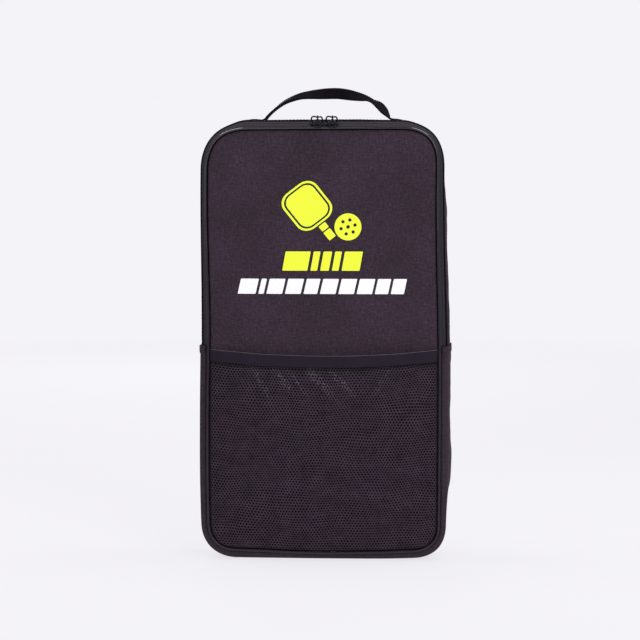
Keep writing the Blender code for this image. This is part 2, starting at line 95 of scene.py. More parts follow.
def catmull(points, per):
    p = np.asarray(points, float)
    out = []
    for i in range(len(p) - 1):
        a, b, c, d = p[max(i - 1, 0)], p[i], p[i + 1], p[min(i + 2, len(p) - 1)]
        for k in range(per):
            t = k / per
            out.append(0.5 * (2 * b + (c - a) * t + (2 * a - 5 * b + 4 * c - d) * t * t
                              + (3 * b - a - 3 * c + d) * t ** 3))
    return np.array(out + [p[-1]])


def resample(line, spacing):
    line = np.asarray(line, float)
    seg = np.linalg.norm(np.diff(line, axis=0), axis=1)
    s = np.concatenate([[0], np.cumsum(seg)])
    n = max(2, int(round(s[-1] / spacing)) + 1)
    q = np.linspace(0, s[-1], n)
    return np.stack([np.interp(q, s, line[:, k]) for k in range(line.shape[1])], 1)


def offset(line, t):
    """The polyline moved t inward, to the right of its direction in (d, h)."""
    line = np.asarray(line, float)
    g = np.gradient(line, axis=0)
    g /= np.linalg.norm(g, axis=1)[:, None]
    t = np.broadcast_to(np.asarray(t, float), len(line))
    return line + np.stack([g[:, 1], -g[:, 0]], 1) * t[:, None]


# ---- small departures of the real case from its symmetrical pattern ---------------------
def warp(P):
    """A few millimetres of skew that the photographed case shows; every piece but the sliders and pulls gets it."""
    x, y, z = P[:, 0].copy(), P[:, 1].copy(), P[:, 2].copy()
    d = y + HALF_DEPTH
    front = 1 - step(d, 3.0, 22.0)
    left, right = np.clip(-x / HALF_WIDTH, 0, 1.12) ** 2, np.clip(x / HALF_WIDTH, 0, 1.12) ** 2
    l_front = hermite(z, LF[0], LF[1])
    l_back = hermite(z, LB[0], LB[1])
    r_front = hermite(z, RF[0], RF[1])
    r_back = hermite(z, RB[0], RB[1])
    dx = left * (front * l_front + (1 - front) * l_back) + right * (front * r_front + (1 - front) * r_back)
    top = step(z, 300, 430)
    low, near = 1 - step(z, 2, 75), 1 - step(d, 1.0, 8.0)
    # the zipper's chain line stays where the sliders' joints are, as far as they run
    k = step(np.abs(x), 78.0, 98.0)
    dz = top * (((1 - k) * (1 - step(d, 1.0, 4.6)) + k * front) * hermite(x, TF[0], TF[1])
                + ((1 - k) * step(d, 8.0, 22.0) + k * (1 - front)) * hermite(x, TB[0], TB[1]))
    dz += low * (near * hermite(x, BF[0], BF[1]) + (1 - near) * hermite(x, BB[0], BB[1]))
    for r, zc, up, push in ((R_TOP, Z_HIGH - R_TOP, 1, 2.4), (R_LOW, Z_LOW + R_LOW, -1, 0.9)):     # squarer front corners
        u, v = np.maximum(np.abs(x) - (HALF_WIDTH - r), 0) / r, np.maximum(up * (z - zc), 0) / r
        q = front * push * (2 * u * v / (u * u + v * v + 1e-9)) ** 2 * step(np.hypot(u, v), 0.35, 1.0) * 0.7
        dx, dz = dx + np.sign(x) * q, dz + up * q
    return np.stack([x + dx, y, z + dz], 1)


# knots: (height or x), (millimetres)
LF = ([0, 10, 30, 66, 150, 217, 390, 430], [1.8, 0.8, -0.4, -1.2, -1.2, -0.2, -2.2, -0.8])
LB = ([0, 28, 48, 66, 150, 217, 300, 390, 430], [5.6, 4.8, 3.7, 2.9, 2.4, 0.9, 2.3, 3.5, 1.8])
RF = ([0, 30, 66, 150, 217, 260, 300, 390, 430], [-2.0, -2.6, -2.4, -2.2, -2.4, -3.2, -4.2, -4.6, -3.4])
RB = ([0, 28, 48, 66, 150, 217, 300, 340, 390, 430], [-8.2, -9.4, -5.2, -1.9, -0.7, -0.5, -3.2, -4.1, -6.3, -6.2])
TF = ([-114, -85, -40, 0, 40, 85, 114], [-2.2, -2.1, -1.7, -1.6, -1.5, -1.4, -1.2])
TB = ([-114, -90, -80, -64, -40, 0, 40, 64, 85, 114], [-2.4, -2.0, -1.3, -2.4, -1.1, -0.5, -0.4, -1.4, -1.8, -1.8])
BF = ([-114, -98, -60, -10, 40, 90, 114], [2.6, 2.4, 1.3, -0.5, 0.2, 2.2, 3.6])
BB = ([-114, -60, 0, 60, 114], [0.6, 0.2, 0.0, 0.2, 1.6])


def place(P):
    Q = warp(np.asarray(P, float).reshape(-1, 3))
    Q[:, 1] += SHIFT_Y
    return Q * MM


# ---- meshes ----------------------------------------------------------------------------
def mesh_piece(name, P, faces, mat, uv=None, sharp=42.0, weld=True, edge_uv=None, placed=False):
    """One closed piece. uv is per point, in millimetres; it is stored in metres."""
    me = bpy.data.meshes.new(name)
    Q = np.asarray(P, float) if placed else place(P)
    me.from_pydata(Q.tolist(), [], [list(map(int, f)) for f in faces])
    if uv is not None:
        layer = me.uv_layers.new(name="wv")
        idx = np.zeros(len(me.loops), np.int32)
        me.loops.foreach_get("vertex_index", idx)
        layer.data.foreach_set("uv", (np.asarray(uv, float)[idx] * MM).astype(np.float32).ravel())
    if edge_uv is not None:
        layer = me.uv_layers.new(name="seam")
        layer.data.foreach_set("uv", (np.asarray(edge_uv, float)[idx] * MM).astype(np.float32).ravel())
    me.materials.append(mat)
    bm = bmesh.new()
    bm.from_mesh(me)
    if weld:
        bmesh.ops.remove_doubles(bm, verts=bm.verts, dist=2e-6)
        bmesh.ops.dissolve_degenerate(bm, edges=bm.edges, dist=1e-7)
    bmesh.ops.recalc_face_normals(bm, faces=bm.faces)
    if bm.calc_volume(signed=True) < 0:
        bmesh.ops.reverse_faces(bm, faces=bm.faces)
    for f in bm.faces:
        f.smooth = True
    bm.to_mesh(me)
    bm.free()
    me.set_sharp_from_angle(angle=math.radians(sharp))
    ob = bpy.data.objects.new(name, me)
    bpy.context.scene.collection.objects.link(ob)
    return ob


def grid_faces(nu, nv, base=0):
    i, j = np.meshgrid(np.arange(nu - 1), np.arange(nv - 1), indexing="ij")
    a = (base + i * nv + j).ravel()
    return np.stack([a, a + 1, a + nv + 1, a + nv], 1).tolist()


def arc_uv(P):
    """UV in millimetres from mean lengths along both ways of a grid."""
    du = np.linalg.norm(np.diff(P, axis=0), axis=2).mean(1)
    dv = np.linalg.norm(np.diff(P, axis=1), axis=2).mean(0)
    u, v = np.concatenate([[0], np.cumsum(du)]), np.concatenate([[0], np.cumsum(dv)])
    U, V = np.meshgrid(u, v, indexing="ij")
    return np.stack([U.ravel(), V.ravel()], 1)


def joined(parts):
    """Several (points, faces, uv) in one."""
    P, F, U, n = [], [], [], 0
    for p, f, u in parts:
        p = np.asarray(p, float).reshape(-1, 3)
        P.append(p)
        F += [[n + i for i in q] for q in f]
        U.append(np.zeros((len(p), 2)) if u is None else np.asarray(u, float))
        n += len(p)
    return np.concatenate(P), F, np.concatenate(U)


def tube(path, radius, sides, closed=False, flats=0.0, up=(0, 1, 0)):
    """Points, faces and uv of a round tube along path; radius may vary along it."""
    path = np.asarray(path, float)
    n = len(path)
    g = np.gradient(path, axis=0)
    if closed:
        g = np.roll(path, -1, 0) - np.roll(path, 1, 0)
    g /= np.linalg.norm(g, axis=1)[:, None]
    up = np.broadcast_to(np.asarray(up, float), (n, 3))
    a = np.cross(g, up)
    a /= np.linalg.norm(a, axis=1)[:, None]
    b = np.cross(a, g)
    r = np.broadcast_to(np.asarray(radius, float), n)
    th = np.linspace(0, TAU, sides + 1)
    q = 1.0 - flats * np.cos(4 * th + math.pi)              # flats at 45 degrees when asked for
    q = q / q.max()
    P = (path[:, None] + r[:, None, None] * ((q * np.cos(th))[None, :, None] * a[:, None]
         + (q * np.sin(th))[None, :, None] * b[:, None]))
    if closed:
        P = np.concatenate([P, P[:1]], 0)
    faces = grid_faces(len(P), sides + 1)
    if not closed:
        faces.append(list(range(sides)))
        faces.append([(n - 1) * (sides + 1) + i for i in range(sides)])
    return P.reshape(-1, 3), faces, arc_uv(P)


# ---- the seam line ----------------------------------------------------------------------
def seam_path():
    """Segments of the outline, clockwise seen from the front, from the left crease."""
    w, rt, rl = HALF_WIDTH, R_TOP, R_LOW
    return [
        ("line", (-w, CREASE_Z), (-w, Z_HIGH - rt), (-1.0, 0.0)),
        ("arc", (-w + rt, Z_HIGH - rt), rt, 180.0, 90.0),
        ("line", (-w + rt, Z_HIGH), (w - rt, Z_HIGH), (0.0, 1.0)),
        ("arc", (w - rt, Z_HIGH - rt), rt, 90.0, 0.0),
        ("line", (w, Z_HIGH - rt), (w, CREASE_Z), (1.0, 0.0)),
        ("line", (w, CREASE_Z), (w, Z_LOW + rl), (1.0, 0.0)),
        ("arc", (w - rl, Z_LOW + rl), rl, 0.0, -90.0),
        ("line", (w - rl, Z_LOW), (-w + rl, Z_LOW), (0.0, -1.0)),
        ("arc", (-w + rl, Z_LOW + rl), rl, -90.0, -180.0),
        ("line", (-w, Z_LOW + rl), (-w, CREASE_Z), (-1.0, 0.0)),
    ]


PATH = seam_path()
LENGTHS = [math.dist(p[1], p[2]) if p[0] == "line" else p[2] * math.radians(abs(p[4] - p[3])) for p in PATH]
STARTS = np.concatenate([[0], np.cumsum(LENGTHS)])
UPPER_LEN, WHOLE_LEN = STARTS[5], STARTS[-1]


def stations(s):
    """x, z, nx, nz at each distance s along the outline."""
    s = np.asarray(s, float)
    out = np.zeros((len(s), 4))
    which = np.clip(np.searchsorted(STARTS, s, side="right") - 1, 0, len(PATH) - 1)
    for k, p in enumerate(PATH):
        m = which == k
        if not m.any():
            continue
        t = (s[m] - STARTS[k]) / LENGTHS[k]
        if p[0] == "line":
            a, b = np.array(p[1]), np.array(p[2])
            out[m, :2] = a + (b - a) * t[:, None]
            out[m, 2:] = p[3]
        else:
            ang = np.radians(p[3] + (p[4] - p[3]) * t)
            out[m, 0], out[m, 1] = p[1][0] + p[2] * np.cos(ang), p[1][1] + p[2] * np.sin(ang)
            out[m, 2], out[m, 3] = np.cos(ang), np.sin(ang)
    return out


def marks(lo, hi, spacing=3.0):
    """Distances from lo to hi that include every corner's ends."""
    cuts = [lo] + [c for c in STARTS if lo + 0.2 < c < hi - 0.2] + [hi]
    out = []
    for a, b in zip(cuts, cuts[1:]):
        n = max(2, int(math.ceil((b - a) / spacing)) + 1)
        out += list(np.linspace(a, b, n))[:-1]
    return np.array(out + [hi])


def side_k(nx):
    return 1.0 + (SIDE_K - 1.0) * np.abs(nx) ** 1.5


def at(st, d, h, bulge=True):
    """Points d behind the front seam and h out from the seam line: st[m,4], d, h broadcast."""
    x, z, nx, nz = (st[:, k] for k in range(4))
    d, h = np.broadcast_arrays(np.asarray(d, float), np.asarray(h, float))
    if d.ndim == 1:
        d, h = np.broadcast_to(d, (len(st), len(d))), np.broadcast_to(h, (len(st), len(h)))
    k = side_k(nx)[:, None] if bulge else 1.0
    return np.stack([x[:, None] + nx[:, None] * h * k, -HALF_DEPTH + d, z[:, None] + nz[:, None] * h * k], 2)


# ---- panel faces --------------------------------------------------------------------------
def rise(d):
    return 1.0 - (1.0 - np.clip(d, 0.0, DOME_REACH) / DOME_REACH) ** 2.5


def half_width(z):
    z = np.asarray(z, float)
    e = np.clip(z - (Z_HIGH - R_TOP), 0, R_TOP)
    f = np.clip(Z_LOW + R_LOW - z, 0, R_LOW)
    top = HALF_WIDTH - R_TOP + np.sqrt(np.maximum(R_TOP ** 2 - e ** 2, 0))
    low = HALF_WIDTH - R_LOW + np.sqrt(np.maximum(R_LOW ** 2 - f ** 2, 0))
    return np.where(z > 200, top, low)


def dome(x, z):
    return DOME * rise(half_width(z) - np.abs(x)) * rise(np.minimum(z - Z_LOW, Z_HIGH - z))


def edge(x, z):
    """Distance inside the seam line."""
    zc, hz = (Z_LOW + Z_HIGH) / 2, (Z_HIGH - Z_LOW) / 2
    r = np.where(z > zc, R_TOP, R_LOW)
    qx, qz = np.abs(x) - (HALF_WIDTH - r), np.abs(z - zc) - (hz - r)
    return -(np.hypot(np.maximum(qx, 0), np.maximum(qz, 0)) + np.minimum(np.maximum(qx, qz), 0) - r)


def relief(x, z, seed):
    """Unevenness of padded cloth: long shallow swells, and puckers beside the seam."""
    e = edge(x, z)
    swell = 0.5 * waves(x, z * 0.7, seed, 95) + 0.16 * waves(x, z, seed + 1, 34)
    pucker = 0.22 * waves(x, z, seed + 2, 13) * np.exp(-((e - 4.0) / 5.0) ** 2)
    return swell * step(e, 0, 30) + pucker - 1.8 * np.clip(1 - e / 2.4, 0, 1) ** 2


def face_out(x, z, side=-1):
    return dome(x, z) + relief(x, z, 11 if side < 0 else 47)


def panel_grid():
    """x[rows, cols] and z[rows, cols] that follow the outline."""
    low = [Z_LOW + R_LOW * (1 - math.cos(math.radians(a))) for a in np.linspace(0, 90, 17)]
    low[0] += 0.05
    top = [Z_HIGH - R_TOP * (1 - math.sin(math.radians(a))) for a in np.linspace(0, 90, 23)]
    top[-1] -= 0.04
    zs = low + list(np.linspace(low[-1], top[0], 121))[1:-1] + top
    zs = np.array(zs)
    hw = half_width(zs)
    ins = np.array([0.2, 0.6, 1.1, 1.7, 2.4, 3.3, 4.6, 6.5, 9.0, 12.5, 17.0, 22.5, 29.0])
    cols = []
    for h in hw:
        mid = np.linspace(-(h - 29.0), h - 29.0, 31)[1:-1]
        cols.append(np.concatenate([-(h - ins), mid, (h - ins)[::-1]]))
    X = np.array(cols)
    return X, np.repeat(zs[:, None], X.shape[1], 1)


GX, GZ = panel_grid()


def slab(name, side, back, thick, mat, puff=0.0):
    """A panel layer: its outer side lies 'back' behind the panel's face."""
    out = face_out(GX, GZ, side) - back
    r, c = GX.shape
    A = np.stack([GX, side * (HALF_DEPTH + out), GZ], 2).reshape(-1, 3)
    B = np.stack([GX, side * (HALF_DEPTH + out - thick), GZ], 2).reshape(-1, 3)
    m = r * c
    edge_i = ([j for j in range(c)] + [i * c + c - 1 for i in range(1, r)]
              + [(r - 1) * c + j for j in range(c - 2, -1, -1)] + [i * c for i in range(r - 2, 0, -1)])
    mid = (A[edge_i] + B[edge_i]) / 2
    f = grid_faces(r, c)
    faces = f + [[m + k for k in q[::-1]] for q in f]
    base, n = 2 * m, len(edge_i)
    for i, a in enumerate(edge_i):
        k = (i + 1) % n
        b = edge_i[k]
        faces.append([b, a, base + i, base + k])
        faces.append([base + k, base + i, m + a, m + b])
    P = np.concatenate([A, B, mid])
    uv = np.stack([P[:, 0], P[:, 2]], 1)
    # seam holds the distance inside the seam line, the mask of the painted shade in the groove beside the piping, and
    # the height
    seam = np.stack([edge(P[:, 0], P[:, 2]), P[:, 2]], 1)
    return mesh_piece(name, P, faces, mat, uv=uv, sharp=55, edge_uv=seam)


# ---- materials ------------------------------------------------------------------------------
class Mat:
    """A small node-tree writer."""

    def __init__(self, name, roughness=0.8, **sockets):
        self.m = bpy.data.materials.new(name)
        self.m.use_nodes = True
        self.nt = self.m.node_tree
        self.b = self.nt.nodes["Principled BSDF"]
        self.b.inputs["Roughness"].default_value = roughness
        for k, v in sockets.items():
            self.b.inputs[k.replace("_", " ")].default_value = v
        self.uvm = self.add("ShaderNodeUVMap")
        self.uvm.uv_map = "wv"

    def add(self, kind, ins=None, out=0, **attrs):
        n = self.nt.nodes.new(kind)
        for k, v in attrs.items():
            setattr(n, k, v)
        for k, v in (ins or {}).items():
            s = n.inputs[k]
            if isinstance(v, bpy.types.NodeSocket):
                self.nt.links.new(v, s)
            elif isinstance(v, bpy.types.Node):
                self.nt.links.new(v.outputs[0], s)
            else:
                s.default_value = v
        return n

    def math(self, op, a, b=0.0, c=None, clamp=False):
        ins = {0: a, 1: b}
        if c is not None:
            ins[2] = c
        return self.add("ShaderNodeMath", ins, operation=op, use_clamp=clamp).outputs[0]

    def scaled(self, su, sv, shift=(0.0, 0.0)):
        """UV in units of su by sv millimetres."""
        v = self.add("ShaderNodeVectorMath", {0: self.uvm.outputs["UV"], 1: (1000.0 / su, 1000.0 / sv, 1.0)},
                     operation="MULTIPLY").outputs[0]
        return self.add("ShaderNodeVectorMath", {0: v, 1: (shift[0], shift[1], 0.0)}, operation="ADD").outputs[0]

    def noise(self, vec, detail=2.0, rough=0.5, scale=1.0):
        n = self.add("ShaderNodeTexNoise", {"Vector": vec, "Scale": scale, "Detail": detail, "Roughness": rough})
        return n.outputs["Fac"]

    def ramp(self, fac, stops):
        n = self.add("ShaderNodeValToRGB", {0: fac})
        e = n.color_ramp.elements
        while len(e) < len(stops):
            e.new(0.5)
        for s, (p, c) in zip(e, stops):
            s.position = p
            s.color = (*c, 1.0) if len(c) == 3 else c
        return n.outputs["Color"]

    def mix(self, fac, a, b, blend="MIX"):
        n = self.add("ShaderNodeMix", data_type="RGBA", blend_type=blend)
        for k, v in ((0, fac), (6, a), (7, b)):
            if isinstance(v, bpy.types.NodeSocket):
                self.nt.links.new(v, n.inputs[k])
            else:
                n.inputs[k].default_value = (*v, 1.0) if k and len(v) == 3 else v
        return n.outputs[2]

    def colour(self, c):
        self.nt.links.new(c, self.b.inputs["Base Color"])

    def rough(self, fac, lo, hi):
        r = self.add("ShaderNodeMapRange", {0: fac, 3: lo, 4: hi}).outputs[0]
        self.nt.links.new(r, self.b.inputs["Roughness"])

    def banded(self, col, bands, seam=None):
        """Painted shade: darkens col across the strip; bands are (from v, to v, factor before, factor after), in mm."""
        v = self.add("ShaderNodeSeparateXYZ", {0: self.scaled(1.0, 1.0)}).outputs[1]
        if seam:
            layer = self.add("ShaderNodeUVMap", uv_map="seam").outputs[0]
            e = self.add("ShaderNodeVectorMath", {0: layer, 1: (1000.0, 1000.0, 1.0)}, operation="MULTIPLY").outputs[0]
            e = self.add("ShaderNodeSeparateXYZ", {0: e}).outputs[0]
            bands = list(bands) + [(*seam, e)]
        for v0, v1, f0, f1, *other in bands:
            f = self.add("ShaderNodeMapRange", {0: other[0] if other else v, 1: v0, 2: v1, 3: f0, 4: f1}, interpolation_type="SMOOTHSTEP").outputs[0]
            grey = self.add("ShaderNodeCombineColor", {0: f, 1: f, 2: f}).outputs[0]
            col = self.mix(1.0, col, grey, "MULTIPLY")
        return col

    def bump(self, height, dist_mm, strength=0.8):
        n = self.add("ShaderNodeBump", {"Height": height, "Strength": strength, "Distance": dist_mm * MM})
        self.nt.links.new(n.outputs[0], self.b.inputs["Normal"])

    def weave(self, pu, pv, jitter=0.12):
        """Plain weave: height of the thread on top, and which of the two it is."""
        base = self.scaled(pu, pv)
        wob = self.add("ShaderNodeTexNoise", {"Vector": base, "Scale": 0.22, "Detail": 1.0}).outputs["Color"]
        off = self.add("ShaderNodeVectorMath", {0: wob, 1: (jitter * 2.2,) * 3}, operation="MULTIPLY").outputs[0]
        v = self.add("ShaderNodeVectorMath", {0: base, 1: off}, operation="ADD").outputs[0]
        xyz = self.add("ShaderNodeSeparateXYZ", {0: v})
        su = self.math("SINE", self.math("MULTIPLY", xyz.outputs[0], math.pi))
        sv = self.math("SINE", self.math("MULTIPLY", xyz.outputs[1], math.pi))
        which = self.math("GREATER_THAN", self.math("MULTIPLY", su, sv), 0.0)
        a, b = self.math("ABSOLUTE", su), self.math("ABSOLUTE", sv)
        h = self.add("ShaderNodeMix", {0: which, 2: b, 3: a}, data_type="FLOAT").outputs[0]
        return h, which, a, b


def cloth_material(name, dark, mid, light, pitch=0.62, streak=9.0, spread=1.0, roughness=(0.74, 0.92),
                   blotch=0.16, bump=0.10, shift=0.0, bands=(), seam=None):
    """Heathered plain weave: each thread runs through lighter and darker yarn along its length."""
    m = Mat(name, 0.85, Sheen_Weight=0.03, Sheen_Roughness=0.5, Specular_IOR_Level=0.10)
    m.b.inputs["Sheen Tint"].default_value = (0.9, 0.8, 0.95, 1.0)
    h, which, a, b = m.weave(pitch, pitch)
    n1 = m.noise(m.scaled(pitch * 1.3, streak, (shift, 0)), 2.5, 0.55)
    n2 = m.noise(m.scaled(streak, pitch * 1.3, (7.3 + shift, 3.1)), 2.5, 0.55)
    n3 = m.noise(m.scaled(2.6, 2.6, (shift, 9.0)), 3.0, 0.6)
    yarn = m.add("ShaderNodeMix", {0: which, 2: n2, 3: n1}, data_type="FLOAT").outputs[0]
    yarn = m.math("MULTIPLY_ADD", m.math("SUBTRACT", m.math("ADD", m.math("MULTIPLY", yarn, 0.65),
                  m.math("MULTIPLY", n3, 0.35)), 0.5), 1.6 * spread, 0.5, clamp=True)
    col = m.ramp(yarn, [(0.18, dark), (0.5, mid), (0.8, light)])
    big = m.noise(m.scaled(55, 55, (shift, 1.0)), 3.0, 0.55)
    fac = m.add("ShaderNodeMapRange", {0: big, 1: 0.25, 2: 0.75, 3: 1 - blotch, 4: 1 + blotch}).outputs[0]
    fac2 = m.add("ShaderNodeMapRange", {0: h, 1: 0.0, 2: 1.0, 3: 0.72, 4: 1.07}).outputs[0]
    f = m.math("MULTIPLY", fac, fac2)
    grey = m.add("ShaderNodeCombineColor", {0: f, 1: f, 2: f}).outputs[0]
    m.colour(m.banded(m.mix(1.0, col, grey, "MULTIPLY"), bands, seam))
    m.rough(n3, *roughness)
    m.bump(m.math("ADD", m.math("MULTIPLY", h, 0.8), m.math("MULTIPLY", n3, 0.35)), bump)
    return m.m


def rib_material(name, dark, light, rib, across=0.5, bump=0.12, roughness=(0.6, 0.82), edge_line=None, along=True,
                 contrast=1.0, bands=(), **kw):
    """Ribbed narrow fabric: ribs across its length (u), fine threads along it."""
    m = Mat(name, 0.7, **{"Specular_IOR_Level": 0.12, **kw})
    xyz = m.add("ShaderNodeSeparateXYZ", {0: m.scaled(rib, across)})
    s1 = m.math("ABSOLUTE", m.math("SINE", m.math("MULTIPLY", xyz.outputs[0 if along else 1], math.pi)))
    s2 = m.math("ABSOLUTE", m.math("SINE", m.math("MULTIPLY", xyz.outputs[1 if along else 0], math.pi)))
    h = m.math("ADD", m.math("MULTIPLY", s1, 0.75), m.math("MULTIPLY", s2, 0.25))
    n = m.noise(m.scaled(0.9, 6.0), 3.0, 0.6)
    big = m.noise(m.scaled(24, 24, (4, 2)), 2.0, 0.5)
    f = m.math("ADD", m.math("MULTIPLY", h, 0.45 * contrast), m.math("ADD", m.math("MULTIPLY", n, 0.45), m.math("MULTIPLY", big, 0.3)))
    col = m.ramp(f, [(0.2, dark), (0.85, light)])
    # painted highlight: edge_line paints a lighter line from v0 to v1 along the strip, streaked by noise
    if edge_line:
        v0, v1, c = edge_line
        sep = m.add("ShaderNodeSeparateXYZ", {0: m.scaled(1.0, 1.0)})
        inside = m.math("MULTIPLY", m.math("GREATER_THAN", sep.outputs[1], v0), m.math("LESS_THAN", sep.outputs[1], v1))
        edge_highlight = m.math("MULTIPLY", inside, m.math("MULTIPLY_ADD", m.noise(m.scaled(5, 5, (1, 7)), 3.0), 0.9, 0.35, clamp=True))
        col = m.mix(edge_highlight, col, c)
    m.colour(m.banded(col, bands))
    m.rough(n, *roughness)
    m.bump(h, bump)
    return m.m


def smooth_material(name, dark, light, roughness, grain=1.6, bump=0.03, **kw):
    """Moulded or painted surface with fine grain and uneven gloss."""
    m = Mat(name, roughness[0], **kw)
    n = m.noise(m.scaled(grain, grain), 4.0, 0.6)
    w = m.noise(m.scaled(14, 14, (3, 5)), 3.0, 0.6)
    m.colour(m.ramp(m.math("ADD", m.math("MULTIPLY", n, 0.5), m.math("MULTIPLY", w, 0.5)), [(0.3, dark), (0.7, light)]))
    m.rough(m.math("ADD", m.math("MULTIPLY", n, 0.5), m.math("MULTIPLY", w, 0.5)), *roughness)
    m.bump(n, bump, 0.6)
    return m.m


def piping_material(name):
    """Coated cord: its coat is strongest over the top corners and weaker towards the bottom; its colour is darker on
    the upper part than lower down, a painted shade.
    """
    m = Mat(name, 0.34, Coat_Roughness=0.06, Specular_IOR_Level=0.05)
    n = m.noise(m.scaled(2.4, 2.4), 4.0, 0.6)
    w = m.noise(m.scaled(14, 14, (3, 5)), 3.0, 0.6)
    f = m.math("ADD", m.math("MULTIPLY", n, 0.5), m.math("MULTIPLY", w, 0.5))
    z = m.add("ShaderNodeSeparateXYZ", {0: m.add("ShaderNodeUVMap", uv_map="seam").outputs[0]}).outputs[0]
    up = m.add("ShaderNodeMapRange", {0: z, 1: 0.18, 2: 0.40, 3: 0.0, 4: 1.0}, interpolation_type="SMOOTHSTEP").outputs[0]
    # painted shade: the colour goes from the paler ramp below 0.18 m to the darker ramp above 0.40 m
    m.colour(m.mix(up, m.ramp(f, [(0.3, (0.014, 0.0098, 0.0150)), (0.7, (0.027, 0.0195, 0.0285))]),
                   m.ramp(f, [(0.3, (0.0052, 0.0044, 0.0060)), (0.7, (0.0105, 0.0090, 0.0122))])))
    m.nt.links.new(m.add("ShaderNodeMapRange", {0: up, 1: 0.0, 2: 1.0, 3: 0.28, 4: 1.0}).outputs[0], m.b.inputs["Coat Weight"])
    m.rough(f, 0.30, 0.38)
    m.bump(n, 0.012, 0.6)
    return m.m


def net_material(name, dark, light, glint):
    """Knitted mono-filament: darker at the knots, lighter on the folds the binding draws, a painted highlight, and
    shaded below the binding.
    """
    m = Mat(name, 0.5, Specular_IOR_Level=0.14)
    n = m.noise(m.scaled(0.9, 0.9), 4.0, 0.6)
    w = m.noise(m.scaled(14, 9, (3, 5)), 3.0, 0.6)
    col = m.ramp(m.math("ADD", m.math("MULTIPLY", n, 0.5), m.math("MULTIPLY", w, 0.5)), [(0.3, dark), (0.7, light)])
    layer = m.add("ShaderNodeUVMap", uv_map="seam").outputs[0]
    e = m.add("ShaderNodeVectorMath", {0: layer, 1: (1000.0, 1000.0, 1.0)}, operation="MULTIPLY").outputs[0]
    e = m.add("ShaderNodeSeparateXYZ", {0: e})
    # painted highlight: where a drawn fold and a noise spot meet, the colour goes over to the glint colour
    fold = m.add("ShaderNodeMapRange", {0: e.outputs[0], 1: 0.08, 2: 0.7, 3: 0.0, 4: 1.0}).outputs[0]
    spot = m.add("ShaderNodeMapRange", {0: m.noise(m.scaled(2.4, 1.9, (8, 2)), 1.0), 1: 0.5, 2: 0.60, 3: 0.0, 4: 1.0}).outputs[0]
    col = m.mix(m.math("MULTIPLY", fold, spot), col, glint)
    f = m.add("ShaderNodeMapRange", {0: e.outputs[1], 1: 0.6, 2: 4.5, 3: 0.35, 4: 1.0}, interpolation_type="SMOOTHSTEP").outputs[0]
    m.colour(m.mix(1.0, col, m.add("ShaderNodeCombineColor", {0: f, 1: f, 2: f}).outputs[0], "MULTIPLY"))
    m.rough(n, 0.42, 0.65)
    m.bump(n, 0.05, 0.6)
    return m.m


def metal_material(name):
    """Black-painted zinc: rubbed to bare metal on its edges, fine scratches."""
    m = Mat(name, 0.35, Coat_Weight=0.1, Coat_Roughness=0.12, Specular_IOR_Level=0.12)
    obj = m.add("ShaderNodeTexCoord").outputs["Object"]
    n = m.add("ShaderNodeTexNoise", {"Vector": obj, "Scale": 900.0, "Detail": 4.0, "Roughness": 0.65}).outputs["Fac"]
    geo = m.add("ShaderNodeNewGeometry").outputs["Pointiness"]
    e = m.math("ADD", m.add("ShaderNodeMapRange", {0: geo, 1: 0.60, 2: 0.80, 3: 0.0, 4: 0.25}).outputs[0],
               m.add("ShaderNodeMapRange", {0: n, 1: 0.55, 2: 0.8, 3: -0.2, 4: 0.35}).outputs[0], clamp=True)
    m.colour(m.ramp(e, [(0.0, (0.007, 0.006, 0.009)), (0.45, (0.014, 0.013, 0.017)), (1.0, (0.10, 0.098, 0.108))]))
    met = m.add("ShaderNodeMapRange", {0: e, 1: 0.45, 2: 1.0, 3: 0.0, 4: 0.8}).outputs[0]
    m.nt.links.new(met, m.b.inputs["Metallic"])
    m.rough(n, 0.22, 0.48)
    m.bump(n, 0.03, 0.5)
    return m.m


def print_material(name, base, deep):
    """Heat-transfer film: the cloth's weave shows through it, with fine cracks and rubbed spots."""
    m = Mat(name, 0.45, Specular_IOR_Level=0.4)
    h, which, a, b = m.weave(0.62, 0.62)
    n = m.noise(m.scaled(3.2, 3.2), 4.0, 0.62)
    big = m.noise(m.scaled(26, 26, (2, 2)), 2.0)
    crack = m.add("ShaderNodeTexVoronoi", {"Vector": m.scaled(4.5, 4.5), "Scale": 1.0}, feature="DISTANCE_TO_EDGE").outputs["Distance"]
    c = m.math("MULTIPLY", m.math("LESS_THAN", crack, 0.012), m.math("GREATER_THAN", n, 0.6))
    f = m.math("ADD", m.math("MULTIPLY", h, 0.3), m.math("ADD", m.math("MULTIPLY", n, 0.4), m.math("MULTIPLY", big, 0.3)), clamp=True)
    m.colour(m.mix(m.math("MULTIPLY", c, 0.35), m.ramp(f, [(0.1, deep), (0.55, base)]), tuple(0.55 * v for v in deep)))
    m.rough(n, 0.35, 0.62)
    m.bump(m.math("ADD", m.math("MULTIPLY", h, 0.5), m.math("MULTIPLY", n, 0.5)), 0.07)
    return m.m


# painted shade: seam=(0.5, 1.5, 0.08, 1.0) darkens the panel cloth to 0.08 at 0.5 mm inside the seam line, back to full
# at 1.5 mm, in the groove beside the piping
CLOTH = cloth_material("case_cloth", (0.019, 0.0112, 0.0185), (0.0375, 0.0240, 0.0365), (0.068, 0.050, 0.066),
                       seam=(0.5, 1.5, 0.08, 1.0))
# painted shade: case_cloth_front is the same cloth darkened to 0.40 below z 199, back to full at z 206, where the net
# pocket and its binding cover the front panel
CLOTH_FRONT = cloth_material("case_cloth_front", (0.019, 0.0112, 0.0185), (0.0375, 0.0240, 0.0365), (0.068, 0.050, 0.066),
                             bands=[(199.0, 206.0, 0.40, 1.0)], seam=(0.5, 1.5, 0.08, 1.0))
